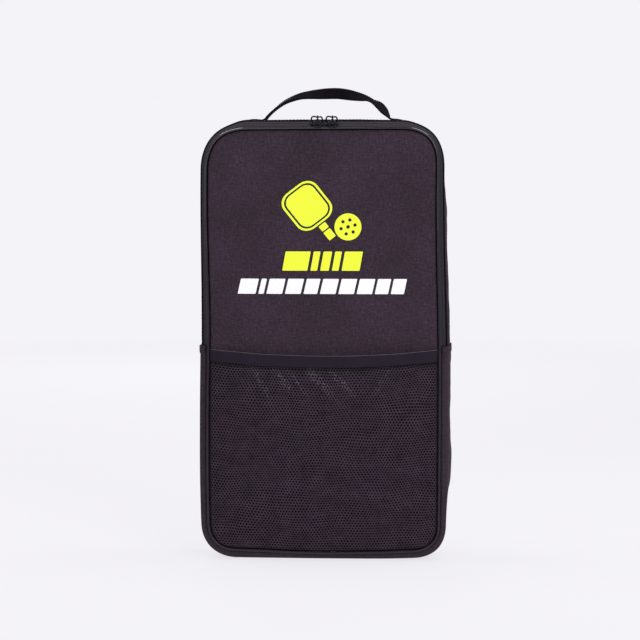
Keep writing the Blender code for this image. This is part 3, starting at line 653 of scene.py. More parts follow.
# painted shade: the lower gusset cloth is darkened to 0.35 at its edge by the piping, back to full 3.2 mm in; the upper
# one to 0.25 at its fold over the rear tape, back to full 1.2 mm in
GUSSET_LOW = cloth_material("gusset_cloth_low", (0.016, 0.0105, 0.016), (0.032, 0.021, 0.031), (0.052, 0.039, 0.050), shift=51.0,
                            bands=[(0.5, 3.2, 0.35, 1.0)])
GUSSET = cloth_material("gusset_cloth", (0.018, 0.012, 0.018), (0.035, 0.0245, 0.034), (0.060, 0.046, 0.058), shift=31.0,
                        bands=[(0.3, 1.2, 0.25, 1.0)])
LINING = cloth_material("lining_cloth", (0.011, 0.010, 0.012), (0.017, 0.016, 0.019), (0.026, 0.024, 0.028), pitch=0.4,
                        streak=5.0, spread=0.7, roughness=(0.42, 0.6), bump=0.05, shift=12.0)
# painted shade: the front tape is darkened to 0.16 at its edge under the piping and to 0.40 at the chain; the rear tape
# to 0.40 at the chain and to 0.14 where it runs under the gusset cloth
TAPE_F = rib_material("zipper_tape_f", (0.0115, 0.0092, 0.0132), (0.032, 0.0258, 0.0362), 0.55, 0.8, bump=0.08, roughness=(0.6, 0.8),
                      bands=[(0.5, 1.5, 0.16, 1.0), (4.1, 4.5, 1.0, 0.40)])
TAPE_R = rib_material("zipper_tape_r", (0.0115, 0.0092, 0.0132), (0.032, 0.0258, 0.0362), 0.55, 0.8, bump=0.08, roughness=(0.6, 0.8),
                      bands=[(0.1, 0.5, 0.40, 1.0), (3.6, 4.7, 1.0, 0.14)])
PIPING = piping_material("piping")
# the edge_line colour is a painted highlight along the binding's folded top edge
BINDING_M = rib_material("binding_tape", (0.0055, 0.0038, 0.0078), (0.021, 0.0145, 0.0255), 0.7, 0.5, bump=0.12,
                         roughness=(0.55, 0.75), edge_line=(11.75, 12.6, (0.085, 0.072, 0.088)), Specular_IOR_Level=0.08,
                         # painted shade: the binding is darkened to 0.5 along its lower edge, back to full 1 mm up
                         bands=[(0.2, 1.0, 0.5, 1.0)])
SEAM_TAPE = rib_material("seam_tape", (0.010, 0.010, 0.013), (0.026, 0.025, 0.031), 0.8, 0.5, bump=0.1)
# the third colour is the net's painted highlight on the drawn folds
NET_M = net_material("net", (0.014, 0.0078, 0.0145), (0.052, 0.033, 0.053), (0.095, 0.070, 0.098))
WEB = rib_material("webbing", (0.0004, 0.0003, 0.0006), (0.0062, 0.0050, 0.0080), 1.05, 0.9, bump=0.2, roughness=(0.5, 0.7), contrast=1.9,
                   Specular_IOR_Level=0.02)
COIL_M = smooth_material("zipper_coil", (0.006, 0.006, 0.007), (0.012, 0.012, 0.014), (0.45, 0.6), grain=0.6, Specular_IOR_Level=0.1)
METAL = metal_material("slider_metal")
THREAD = smooth_material("thread", (0.010, 0.009, 0.012), (0.030, 0.027, 0.033), (0.55, 0.75), grain=0.4, bump=0.06, Specular_IOR_Level=0.05)
GREEN = print_material("print_green", (0.86, 0.98, 0.028), (0.70, 0.86, 0.02))
WHITE = print_material("print_white", (0.93, 0.93, 0.95), (0.80, 0.80, 0.83))


def crease_blend(ob):
    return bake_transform(ob)


# ---- the padded panels ---------------------------------------------------------------------
front = slab("front_panel_shell", -1, 0.0, 5.1, CLOTH_FRONT)
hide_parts("front_upper_fabric", "front_lower_fabric", "front_upper_foam", "front_lower_foam")
crease_blend(front)
front_in = slab("front_panel_inner_cloth", -1, 5.3, 0.5, LINING)
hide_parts("front_upper_lining", "front_lower_lining")
crease_blend(front_in)
back = slab("back_panel_shell", 1, 0.0, 5.1, CLOTH)
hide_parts("back_panel_fabric", "back_panel_foam")
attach(back, "case")
back_in = slab("back_panel_inner_cloth", 1, 5.3, 0.5, LINING)
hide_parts("back_panel_lining")
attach(back_in, "case")


# ---- piping ----------------------------------------------------------------------------------
def piping(name, d, nodes, seed):
    s = marks(0, WHOLE_LEN, 2.4)[:-1]
    st = stations(s)
    wob = 0.10 * waves(st[:, 0], st[:, 1], seed, 26)
    path = np.stack([st[:, 0] + st[:, 2] * (CORD_H + wob), -HALF_DEPTH + d + 0.12 * waves(st[:, 1], st[:, 0], seed + 1, 31) + 0 * s,
                     st[:, 1] + st[:, 3] * (CORD_H + wob)], 1)
    r = CORD_R * (1 + 0.012 * waves(st[:, 0], st[:, 1], seed + 2, 14))
    P, F, U = tube(path, r, 24, closed=True, flats=0.04)
    P = np.asarray(P, float)
    # the seam layer carries each point's height, the mask of the piping's painted shade and of its coat
    ob = mesh_piece(name, P, F, PIPING, uv=U, sharp=80, edge_uv=np.stack([P[:, 2], 0 * P[:, 2]], 1))
    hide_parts(*nodes)
    return ob


crease_blend(piping("front_piping_cord", 0.0, ["front_upper_piping", "front_lower_piping"], 5))
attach(piping("back_piping_cord", 2 * HALF_DEPTH, ["back_piping"], 8), "case")


# ---- strips swept round the outline -------------------------------------------------------------
def strip(name, lo, hi, line, outer, thick, mat, bulge=True, closed=False, ripple=None, spacing=3.0,
          across=1.0, sharp=42.0, lift=None):
    """A strip of cloth along the outline from lo to hi; line is (d, h), its outer side 'outer' inside it."""
    s = marks(lo, hi, spacing)
    st = stations(s)
    L = resample(line, across)
    top, low = offset(L, outer), offset(L, outer + thick)
    g = top[0] - top[1]
    g /= np.linalg.norm(g)
    g2 = top[-1] - top[-2]
    g2 /= np.linalg.norm(g2)
    r = min(0.3, thick * 0.4)
    ring = np.concatenate([[(top[0] + low[0]) / 2 + g * r], top, [(top[-1] + low[-1]) / 2 + g2 * r], low[::-1],
                           [(top[0] + low[0]) / 2 + g * r]])
    nrm = np.stack([-np.gradient(L[:, 1]), np.gradient(L[:, 0])], 1) * -1.0
    D = np.broadcast_to(ring[:, 0], (len(s), len(ring))).copy()
    H = np.broadcast_to(ring[:, 1], (len(s), len(ring))).copy()
    if ripple is not None:
        H = H + ripple(s[:, None], D)
    if lift is not None:
        H = H + lift(s[:, None], D)
    P = at(st, D, H, bulge)
    nu, nv = P.shape[:2]
    faces = grid_faces(nu, nv)
    n = len(L)
    if not closed:
        for b in (0, (nu - 1) * nv):
            faces.append([b, b + 1, b + 2 * n + 1])
            for j in range(1, n):
                faces.append([b + j, b + j + 1, b + 2 * n + 1 - j, b + 2 * n + 2 - j])
            faces.append([b + n, b + n + 1, b + n + 2])
    uvv = np.concatenate([[0], np.linspace(0, 1, n) * (n - 1) * across, [(n - 1) * across],
                          np.linspace(1, 0, n) * (n - 1) * across, [0]])
    U, V = np.meshgrid(s, uvv, indexing="ij")
    return mesh_piece(name, P.reshape(-1, 3), faces, mat, uv=np.stack([U.ravel(), V.ravel()], 1), sharp=sharp)


def gusset_ripple(s, d):
    """Slack of the gusset cloth: mostly across the strip, fading at its seams."""
    mid = step(d, 8, 20) * (1 - step(d, 40, 51))
    return mid * (0.55 * waves(s, d * 2.0, 71, 55) + 0.22 * waves(s, d, 72, 17))


def hem(s, d):
    """The lower gusset's ends are folded over the zipper ends."""
    a = np.clip(1 - np.abs(s - (UPPER_LEN + 0.2)) / 8.0, 0, 1)
    b = np.clip(1 - np.abs(s - (WHOLE_LEN - 0.2)) / 8.0, 0, 1)
    e = np.maximum(a, b)
    return 0.75 * step(e, 0.05, 0.22)


E = 0.15
front_edge, rear_edge = C - T * CHAIN_HALF_GAP, C + T * CHAIN_HALF_GAP
close = C - T * 0.08, C + T * 0.08
FRONT_TAPE = [(1.5, 1.75), (2.4, 2.35), tuple(close[0] + N * 0.02)]
REAR_TAPE = [tuple(close[1] + N * 0.02), (9.5, 6.45), (13.6, 7.55)]
UPPER_CLOTH = catmull([(9.7, 7.35), (10.9, 7.85), (13.2, 8.35), (16.0, 8.6), (20.0, 8.8), (29.0, 8.95), (41.0, 8.1), (49.0, 5.3), (52.2, 1.9)], 6)
UPPER_LINE = catmull([(14.5, 7.8), (20.0, 8.3), (29.0, 8.5), (41.0, 7.8), (49.0, 5.2), (52.0, 1.9)], 6)
LOWER_CLOTH = catmull([(1.9, 1.8), (2.4, 4.3), (4.2, 7.2), (7.6, 8.75), (14.0, 9.1), (27.0, 9.2), (40.0, 9.1), (46.8, 8.7), (50.2, 6.8),
                       (51.7, 4.2), (52.2, 1.8)], 5)

tape_f = strip("zipper_tape_front_cloth", E, UPPER_LEN - E, FRONT_TAPE, 0.0, TAPE, TAPE_F, across=0.6)
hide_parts("zipper_tape_front")
crease_blend(tape_f)
tape_r = strip("zipper_tape_rear_cloth", E, UPPER_LEN - E, REAR_TAPE, 0.0, TAPE, TAPE_R, across=0.7)
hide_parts("zipper_tape_rear")
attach(tape_r, "case")

up_g = strip("upper_gusset_cloth", E, UPPER_LEN - E, UPPER_CLOTH, 0.0, TAPE, GUSSET, ripple=gusset_ripple, across=1.4,
             lift=lambda s, d: 0.3 * (1 - step(d, 10.4, 12.6)))
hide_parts("upper_gusset_fabric")
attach(up_g, "case")
up_l = strip("upper_gusset_inner_cloth", E, UPPER_LEN - E, UPPER_LINE, TAPE + 0.3, 0.5, LINING, ripple=gusset_ripple, across=2.0)
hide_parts("upper_gusset_lining")
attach(up_l, "case")
lo_g = strip("lower_gusset_cloth", UPPER_LEN + E, WHOLE_LEN - E, LOWER_CLOTH, 0.0, TAPE, GUSSET_LOW, ripple=gusset_ripple,
             across=1.3, lift=hem, spacing=2.2)
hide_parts("lower_gusset_fabric")
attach(lo_g, "case")
LOWER_LINE = catmull([(1.9, 1.8), (2.6, 4.2), (4.4, 6.9), (7.6, 8.2), (27.0, 8.5), (46.6, 8.3), (50.0, 6.6), (51.5, 4.2), (52.1, 1.8)], 5)
lo_l = strip("lower_gusset_inner_cloth", UPPER_LEN + E, WHOLE_LEN - E, LOWER_LINE, TAPE + 0.3, 0.5, LINING,
             ripple=gusset_ripple, across=2.0)
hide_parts("lower_gusset_lining")
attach(lo_l, "case")

INNER = 0.7 + 4.0 + 0.5 + 0.9
bind_f = strip("front_seam_tape", 0, WHOLE_LEN, [(INNER, -9.5), (INNER, 0.9)], 0.0, 0.9, SEAM_TAPE, bulge=False, closed=True)
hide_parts("front_upper_seam_binding", "front_lower_seam_binding")
crease_blend(bind_f)
bd = 2 * HALF_DEPTH - INNER - 0.9
bind_b = strip("back_seam_tape", 0, WHOLE_LEN, [(bd, -9.5), (bd, 0.9)], 0.0, 0.9, SEAM_TAPE, bulge=False, closed=True)
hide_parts("back_seam_binding")
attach(bind_b, "case")


# ---- the zipper's coils: a helix of filament on the inner side of each tape ---------------------
def coil(name, sign, node):
    """Turns of filament with a stuffer cord through them, under the tape's edge."""
    pitch, per = 1.5, 8
    a, b = 0.8 + 2 * E, UPPER_LEN - 0.8 - 2 * E
    n = int((b - a) / pitch) * per
    s = np.linspace(a, b, n)
    ph = np.arange(n) * TAU / per + (0 if sign < 0 else math.pi)
    centre = C + sign * T * (CHAIN_HALF_GAP + 0.62) - N * (TAPE + 0.3 + 0.62)
    t, m = sign * -0.98 * np.cos(ph), 0.44 * np.sin(ph)
    d = centre[0] + T[0] * t + N[0] * m
    h = centre[1] + T[1] * t + N[1] * m
    st = stations(s)
    path = at(st, d[:, None], h[:, None])[:, 0]
    up = at(st, (d + N[0])[:, None], (h + N[1])[:, None])[:, 0] - path
    p1 = tube(path, 0.27, 5, up=up)
    s2 = marks(a, b, 3.0)
    path2 = at(stations(s2), np.full((len(s2), 1), centre[0]), np.full((len(s2), 1), centre[1]))[:, 0]
    p2 = tube(path2, 0.3, 6)
    P, F, U = joined([p1, p2])
    ob = mesh_piece(name, P, F, COIL_M, uv=U, sharp=80, weld=True)
    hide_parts(node)
    return ob


crease_blend(coil("zipper_teeth_front", -1, "zipper_coil_front"))
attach(coil("zipper_teeth_rear", 1, "zipper_coil_rear"), "case")


# ---- stitches --------------------------------------------------------------------------------------
def stitch_mesh(name, A, B, up, radius=0.24, mat=None):
    """One mesh of short sunk-in stitches from A[i] to B[i]."""
    mat = mat or THREAD
    A, B, up = (np.asarray(v, float).reshape(-1, 3) for v in (A, B, up))
    up = up / np.linalg.norm(up, axis=1)[:, None]
    g = B - A
    L = np.linalg.norm(g, axis=1)[:, None]
    g = g / L
    side = np.cross(g, up)
    side /= np.linalg.norm(side, axis=1)[:, None]
    ts = np.array([0.0, 0.12, 0.35, 0.65, 0.88, 1.0])
    rs = np.array([0.25, 0.8, 1.0, 1.0, 0.8, 0.25]) * radius
    dip = np.array([-0.9, -0.25, 0.0, 0.0, -0.25, -0.9]) * radius
    th = np.linspace(0, TAU, 7)
    P = []
    for t, r, q in zip(ts, rs, dip):
        c = A + g * L * t + up * q
        P.append(c[:, None] + r * (np.cos(th)[None, :, None] * side[:, None] + np.sin(th)[None, :, None] * up[:, None]))
    P = np.stack(P, 1)                         # stitch, ring, side, xyz
    n = len(A)
    f0 = grid_faces(6, 7) + [list(range(6)), [35 + i for i in range(6)]]
    faces = [[i + 42 * k for i in f] for k in range(n) for f in f0]
    u = np.repeat(np.arange(n) * 3.7, 42) + np.tile(np.repeat(np.arange(6) * 0.5, 7), n)
    v = np.tile(np.arange(42) % 7 * 0.25, n)
    return mesh_piece(name, P.reshape(-1, 3), faces, mat, uv=np.stack([u, v], 1), sharp=80)


def seam_stitches(name, lo, hi, line, outer, lengthwise=2.5, gap=1.0, bulge=True, ripple=None, where=0.5, lift=None, radius=0.24):
    """A row along the outline, on the outer side of a strip; where is the (d, h) point on its line."""
    L = resample(line, 0.5)
    i = int(np.argmin(np.abs(L[:, 0] - where)))
    g = np.gradient(L, axis=0)[i]
    g /= np.linalg.norm(g)
    n = np.array([-g[1], g[0]])                # outward in (d, h)
    p = L[i] + n * (0.06 - outer)
    s0 = np.arange(lo, hi - lengthwise, lengthwise + gap)
    out = []
    for s in (s0, s0 + lengthwise):
        add = (ripple(s, p[0] + 0 * s) if ripple else 0) + (lift(s, p[0] + 0 * s) if lift else 0)
        out.append(at(stations(s), np.full((len(s), 1), p[0]), (p[1] + add + 0 * s)[:, None], bulge)[:, 0])
    up = at(stations(s0), np.full((len(s0), 1), p[0] + n[0]), np.full((len(s0), 1), p[1] + n[1]), bulge)[:, 0] \
        - at(stations(s0), np.full((len(s0), 1), p[0]), np.full((len(s0), 1), p[1]), bulge)[:, 0]
    return stitch_mesh(name, out[0], out[1], up, radius)


up_lift = lambda s, d: 0.3 * (1 - step(d, 10.4, 12.6))
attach(seam_stitches("stitch_gusset_edge", 4, UPPER_LEN - 4, UPPER_CLOTH, 0.0, where=12.6, ripple=gusset_ripple, lift=up_lift), "case")
crease_blend(seam_stitches("stitch_tape_edge", 3, UPPER_LEN - 3, FRONT_TAPE, 0.0, where=2.5, radius=0.18))
for k, (sa, sb) in enumerate(((UPPER_LEN, 1), (WHOLE_LEN, -1))):
    d0 = np.arange(4.0, 49.0, 3.5)
    ends = []
    L = LOWER_CLOTH
    for dd in (d0, d0 + 2.5):
        h = np.interp(dd, L[:, 0], L[:, 1])
        s = np.full(len(dd), sa + sb * 4.6)
        h = h + gusset_ripple(s, dd) + 0.75 + 0.06
        ends.append(at(stations(s[:1]), dd, h)[0])
    up = np.tile([stations(np.array([sa + sb * 4.6]))[0, 2], 0, 0], (len(d0), 1))
    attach(stitch_mesh("stitch_hem_%s" % ("right", "left")[k], ends[0], ends[1], up, 0.22), "case")
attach(seam_stitches("stitch_seam_tape_back", 4, WHOLE_LEN - 4, [(bd, -9.5), (bd, -1.0)], 0.0, bulge=False, where=bd), "case")

# ---- net pocket ------------------------------------------------------------------------------------


def pocket_top(x):
    return 193.0 + 5.5 * (np.abs(x) / HALF_WIDTH) ** 2


def stand_off(x, z):
    u = np.minimum(np.abs(x) / HALF_WIDTH, 1.0)
    v = np.clip((z - Z_LOW) / 175.0, 0.0, 1.0)
    return POCKET_GAP * (1.0 - u ** 3) * (1.0 - (1.0 - v) ** 3)


def drawn(x, z):
    """Short folds the binding draws in the net."""
    out, t = 0.0, 188.0 - z
    for x0, lean_, a, w in ((-68, 0.55, 1.0, 3.4), (-47, 0.8, 1.1, 4.2), (-34, 0.75, 0.7, 3.2), (-12, 0.85, 1.4, 5.0), (9, 0.9, 1.1, 4.6), (62, -0.6, 0.6, 4.0)):
        c = (x - x0 - lean_ * t) / w
        out = out + a * np.exp(-c * c) * np.exp(-((t - 9.0) / 14.0) ** 2)
    return out


def net_sag(x, z):
    """Tension folds that run down and inward from the pocket's upper corners, and slack in the middle."""
    e = np.clip(edge(x, z) / 26.0, 0, 1)
    side = np.abs(x) / HALF_WIDTH
    slant = 0.45 * np.sin(TAU * (np.abs(x) * 0.9 + z * 0.42) / 21.0 + 1.3 * waves(x, z, 93, 60)) * side ** 1.5
    slack = 0.55 * waves(x * 1.2, z * 0.6, 91, 58) + 0.22 * waves(x, z, 92, 22)
    return e * (slant + slack) + drawn(x, z)


def net_out(x, z):
    return face_out(x, z) + 0.45 + stand_off(x, z) + 0.7 * step(edge(x, z), 0.5, 8) + net_sag(x, z)


def net_piece():
    px, pz = 3.0, 2.6
    z0, z1 = Z_LOW + 0.5, 205.0
    rows, cols = int((z1 - z0) / pz) + 1, int(2 * HALF_WIDTH / px) + 3
    cx, cz = [], []
    for r in range(rows):
        x = (np.arange(cols) - cols / 2 + (0.5 if r % 2 else 0.0)) * px
        cx.append(x)
        cz.append(np.full(cols, z0 + r * pz))
    cx, cz = np.concatenate(cx), np.concatenate(cz)
    keep = (edge(cx, cz) > 0.9) & (cz < pocket_top(cx) + 4.0)
    cx, cz = cx[keep], cz[keep]
    ang = np.radians(30 + 60 * np.arange(6))
    hx, hz = px / math.sqrt(3) * np.cos(ang), pz / 1.5 * np.sin(ang)     # cell corners
    ox = cx[:, None] + hx[None]
    oz = cz[:, None] + hz[None]
    rng = np.random.RandomState(4)
    size = 0.62 + 0.05 * rng.uniform(-1, 1, len(cx))
    size = size + 0.05 * waves(cx, cz, 95, 30)
    ix = cx[:, None] + hx[None] * size[:, None]
    iz = cz[:, None] + hz[None] * size[:, None]

    def settle(x, z):
        """Uneven stretch of the knit, then kept inside the seam."""
        f = np.clip(edge(x, z) / 20, 0, 1)
        x2 = x + f * 1.3 * waves(x, z, 96, 48)
        z2 = z + f * 1.6 * waves(x, z, 97, 52) + 3.2 * (np.abs(x) / HALF_WIDTH) ** 2 * np.clip(z / 190, 0, 1)
        lim = edge(x2, z2) < 0.45
        for _ in range(4):
            e = edge(x2, z2)
            gx = (edge(x2 + 0.05, z2) - e) / 0.05
            gz = (edge(x2, z2 + 0.05) - e) / 0.05
            push = np.where(e < 0.45, 0.45 - e, 0)
            x2, z2 = x2 + gx * push, z2 + gz * push
        return x2, z2

    key = {}
    idx = np.zeros(ox.shape, int)
    pts = []
    for i in range(ox.shape[0]):
        for j in range(6):
            k = (round(ox[i, j] * 20), round(oz[i, j] * 20))
            if k not in key:
                key[k] = len(pts)
                pts.append((ox[i, j], oz[i, j]))
            idx[i, j] = key[k]
    pts = np.array(pts)
    no, nc = len(pts), len(cx)
    X = np.concatenate([pts[:, 0], ix.ravel()])
    Z = np.concatenate([pts[:, 1], iz.ravel()])
    X, Z = settle(X, Z)
    out = net_out(X, Z)
    rim = np.concatenate([np.zeros(no), np.full(nc * 6, 0.13)])
    m = len(X)
    F = np.stack([X, -(HALF_DEPTH + out + 0.5 - rim), Z], 1)
    B = np.stack([X, -(HALF_DEPTH + out + rim), Z], 1)
    j = np.arange(6)
    jn = (j + 1) % 6
    hole = no + np.arange(nc)[:, None] * 6 + j[None]
    a, b, c, d = idx, idx[:, jn], hole[:, jn], hole
    fr = np.stack([a, b, c, d], 2).reshape(-1, 4)
    bk = fr[:, ::-1] + m
    wall = np.stack([d, c, c + m, d + m], 2).reshape(-1, 4)
    faces = np.concatenate([fr, bk, wall]).tolist()
    count = {}
    for i in range(nc):
        for q in range(6):
            e = (idx[i, q], idx[i, (q + 1) % 6])
            k = (min(e), max(e))
            count[k] = (count.get(k, (0, None))[0] + 1, e)
    for n_, e in count.values():
        if n_ == 1:
            faces.append([e[1], e[0], e[0] + m, e[1] + m])
    uv = np.stack([X, Z], 1)
    # lit holds the masks of the net's painted highlight on the drawn folds and of its shade below the binding
    lit = np.stack([drawn(X, Z), pocket_top(X) - Z], 1)
    return mesh_piece("pocket_net", np.concatenate([F, B]), faces, NET_M, uv=np.concatenate([uv, uv]), sharp=70, weld=False,
                      edge_uv=np.concatenate([lit, lit]))


net = net_piece()
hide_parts("mesh_pocket")
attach(net, "case")

# the binding folded over the net's top edge
xs = np.linspace(-1, 1, 121) * (HALF_WIDTH - 0.35)
prof_z = np.concatenate([[0.0], np.linspace(0.35, BAND_HIGH - 0.5, 12), [BAND_HIGH]])
bulge = 0.25 * np.cos((prof_z / BAND_HIGH - 0.5) * math.pi)
rows_f, rows_b = [], []
for k, pz_ in enumerate(prof_z):
    zz = pocket_top(xs) + 0.3 + pz_ + 0.25 * waves(xs, 0 * xs, 33, 40)
    base = net_out(xs, pocket_top(xs) + 2.0) + (0.12 * waves(xs, zz, 34, 24))
    t = 1.45 if 0 < k < len(prof_z) - 1 else 1.0
    rows_f.append(np.stack([xs, -(HALF_DEPTH + base + t + bulge[k] * 0.5), zz], 1))
    rows_b.append(np.stack([xs, -(HALF_DEPTH + base - 0.05 + (0.35 if k in (0, len(prof_z) - 1) else 0)), zz], 1))
ring = np.array(rows_f + rows_b[::-1] + rows_f[:1])            # around, along
P = ring.transpose(1, 0, 2)
nv = P.shape[1]
vv = np.concatenate([prof_z, prof_z[::-1], [0]])
U, V = np.meshgrid(xs, vv, indexing="ij")
faces = grid_faces(len(xs), nv)
n = len(prof_z)
for b in (0, (len(xs) - 1) * nv):
    for j in range(n - 1):
        faces.append([b + j, b + j + 1, b + 2 * n - 2 - j, b + 2 * n - 1 - j])
binding = mesh_piece("pocket_binding_tape", P.reshape(-1, 3), faces, BINDING_M, uv=np.stack([U.ravel(), V.ravel()], 1), sharp=60)
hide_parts("pocket_binding")
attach(binding, "case")
for k, hgt in enumerate((1.5, 10.6)):
    a = np.arange(-111.0, 110.0, 3.3)
    ends = []
    for x in (a, a + 2.35):
        zz = pocket_top(x) + 0.3 + hgt + 0.25 * waves(x, 0 * x, 33, 40)
        base = net_out(x, pocket_top(x) + 2.0) + (0.12 * waves(x, zz, 34, 24))
        ends.append(np.stack([x, -(HALF_DEPTH + base + 1.45 + 0.12 * math.cos((hgt / BAND_HIGH - 0.5) * math.pi) + 0.05), zz], 1))
    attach(stitch_mesh("stitch_binding_%d" % k, ends[0], ends[1], np.tile([0, -1.0, 0], (len(a), 1)), 0.2), "case")


# ---- printed film ---------------------------------------------------------------------------------
def film(name, polys, mat, node):
    """polys: list of [outer, hole, hole...] outlines in (x, z), laid on the panel's face."""
    bm = bmesh.new()
    for poly in polys:
        loops = [[Vector((p[0], p[1], 0.0)) for p in ring] for ring in poly]
        flat = [v for ring in loops for v in ring]
        vs = [bm.verts.new(v) for v in flat]
        for t in geometry.tessellate_polygon(loops):
            try:
                bm.faces.new([vs[i] for i in t])
            except ValueError:
                pass
    for _ in range(5):
        long = [e for e in bm.edges if e.calc_length() > 3.5]
        if not long:
            break
        bmesh.ops.subdivide_edges(bm, edges=long, cuts=1)
        bmesh.ops.triangulate(bm, faces=[f for f in bm.faces if len(f.verts) > 3])
    bm.verts.ensure_lookup_table()
    bm.verts.index_update()
    X = np.array([v.co.x for v in bm.verts])
    Z = np.array([v.co.y for v in bm.verts])
    m = len(X)
    rimmed = np.array([any(e.is_boundary for e in v.link_edges) for v in bm.verts])
    out = face_out(X, Z)
    A = np.stack([X, -(HALF_DEPTH + out + np.where(rimmed, 0.2, 0.30)), Z], 1)
    B = np.stack([X, -(HALF_DEPTH + out + 0.03), Z], 1)
    faces = [[v.index for v in f.verts] for f in bm.faces]
    faces += [[m + i for i in f[::-1]] for f in faces]
    for e in bm.edges:
        if e.is_boundary:
            a, b = (v.index for v in e.verts)
            faces.append([a, b, m + b, m + a])
    bm.free()
    uv = np.stack([X, Z], 1)
    ob = mesh_piece(name, np.concatenate([A, B]), faces, mat, uv=np.concatenate([uv, uv]), sharp=50, weld=False)
    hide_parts(node)
    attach(ob, "flap")
    return ob


def ring_of(cx, cz, r, n, a0=0.0, rz=None):
    return [(cx + r * math.cos(a0 + TAU * i / n), cz + (rz or r) * math.sin(a0 + TAU * i / n)) for i in range(n)]


def rounded_poly(points, r, n=5):
    """Corners of a polygon rounded with radius-like cut r."""
    out = []
    p = [Vector(q) for q in points]
    for i, b in enumerate(p):
        a, c = p[i - 1], p[(i + 1) % len(p)]
        k = min(r, (a - b).length * 0.45, (c - b).length * 0.45)
        s, e = b + (a - b).normalized() * k, b + (c - b).normalized() * k
        for t in np.linspace(0, 1, n):
            q = s * (1 - t) ** 2 + b * 2 * t * (1 - t) + e * t * t
            out.append((q.x, q.y))
    return out


lean = math.radians(38.0)


def tilt(pts):
    return [(-9.0 + x * math.cos(lean) - z * math.sin(lean) * 0.9 - 8.5,
             351.5 + x * math.sin(lean) + z * math.cos(lean) * 0.9 + 2.0) for x, z in pts]


def blade(w, h, r, n=9):
    pts = []
    for cx, cz, a0 in ((1, 1, 0), (-1, 1, 90), (-1, -1, 180), (1, -1, 270)):
        for i in range(n):
            a = math.radians(a0 + 90 * i / (n - 1))
            pts.append((cx * (w - r) + r * math.cos(a), cz * (h - r) + r * math.sin(a)))
    return pts


polys = [
    [tilt(blade(20.5, 24.5, 13.0)), tilt(blade(18.3, 22.3, 11.2))],
    [tilt(blade(16.4, 20.4, 9.6))],
    [tilt(rounded_poly([(-4.0, -26.0), (4.0, -26.0), (4.0, -33.0), (-4.0, -33.0)], 0.8))],
    [tilt(rounded_poly([(-4.0, -34.6), (4.0, -34.6), (4.0, -45.5), (-4.0, -45.5)], 0.8))],
]
film("print_paddle_film", polys, GREEN, "print_paddle")
holes = [ring_of(23.0, 332.5, 1.9, 12)] + [ring_of(23.0 + 7.2 * math.cos(a), 332.5 + 7.2 * math.sin(a), 1.75, 12)
                                           for a in np.arange(6) * TAU / 6 + 0.26]
film("print_ball_film", [[ring_of(23.0, 332.5, 13.5, 40)] + holes], GREEN, "print_ball")


def bars(x0, x1, z0, z1, slant, widths, gap):
    total = sum(widths) + gap * (len(widths) - 1)
    k = (x1 - x0) / total
    x, out = x0, []
    for w in widths:
        a, b = x, x + w * k
        out.append([rounded_poly([(a, z0), (b, z0), (b + slant, z1), (a + slant, z1)], 0.9, 4)])
        x = b + gap * k
    return out


film("print_bars_green_film", bars(-42.0, 34.5, 289.0, 308.0, 3.5, [26, 7, 9, 7, 19], 3.2), GREEN, "print_bar_green")
film("print_bars_white_film", bars(-86.0, 79.5, 266.0, 281.0, 3.5, [17, 5, 15, 15, 13, 15, 15, 15, 13, 13], 2.6), WHITE, "print_bar_white")


# ---- sliders and pulls --------------------------------------------------------------------------------
def frame_point(x, t, n):
    x, t, n = np.broadcast_arrays(np.asarray(x, float), t, n)
    return np.stack([x, -HALF_DEPTH + C[0] + T[0] * t + N[0] * n, Z_HIGH + C[1] + T[1] * t + N[1] * n], -1)


def plate(outline, levels, centre):
    """Pillow-edged plate: the outline scaled per level (scale, n), capped with fans."""
    o = np.asarray(outline, float)
    o = np.concatenate([o, o[:1]])
    c = np.asarray(centre, float)
    P = []
    for k, n_ in levels:
        q = c + (o - c) * k
        P.append(frame_point(q[:, 0], q[:, 1], n_))
    P = np.stack(P)
    m = P.shape[1]
    faces = grid_faces(len(levels), m)
    mid = [frame_point(c[0], c[1], levels[0][1]), frame_point(c[0], c[1], levels[-1][1])]
    pts = np.concatenate([P.reshape(-1, 3), np.array(mid)])
    for which, base in ((len(pts) - 2, 0), (len(pts) - 1, (len(levels) - 1) * m)):
        faces += [[which, base + i, base + i + 1] for i in range(m - 1)]
    uv = np.stack([pts[:, 0], pts[:, 1] + pts[:, 2]], 1)
    return pts, faces, uv


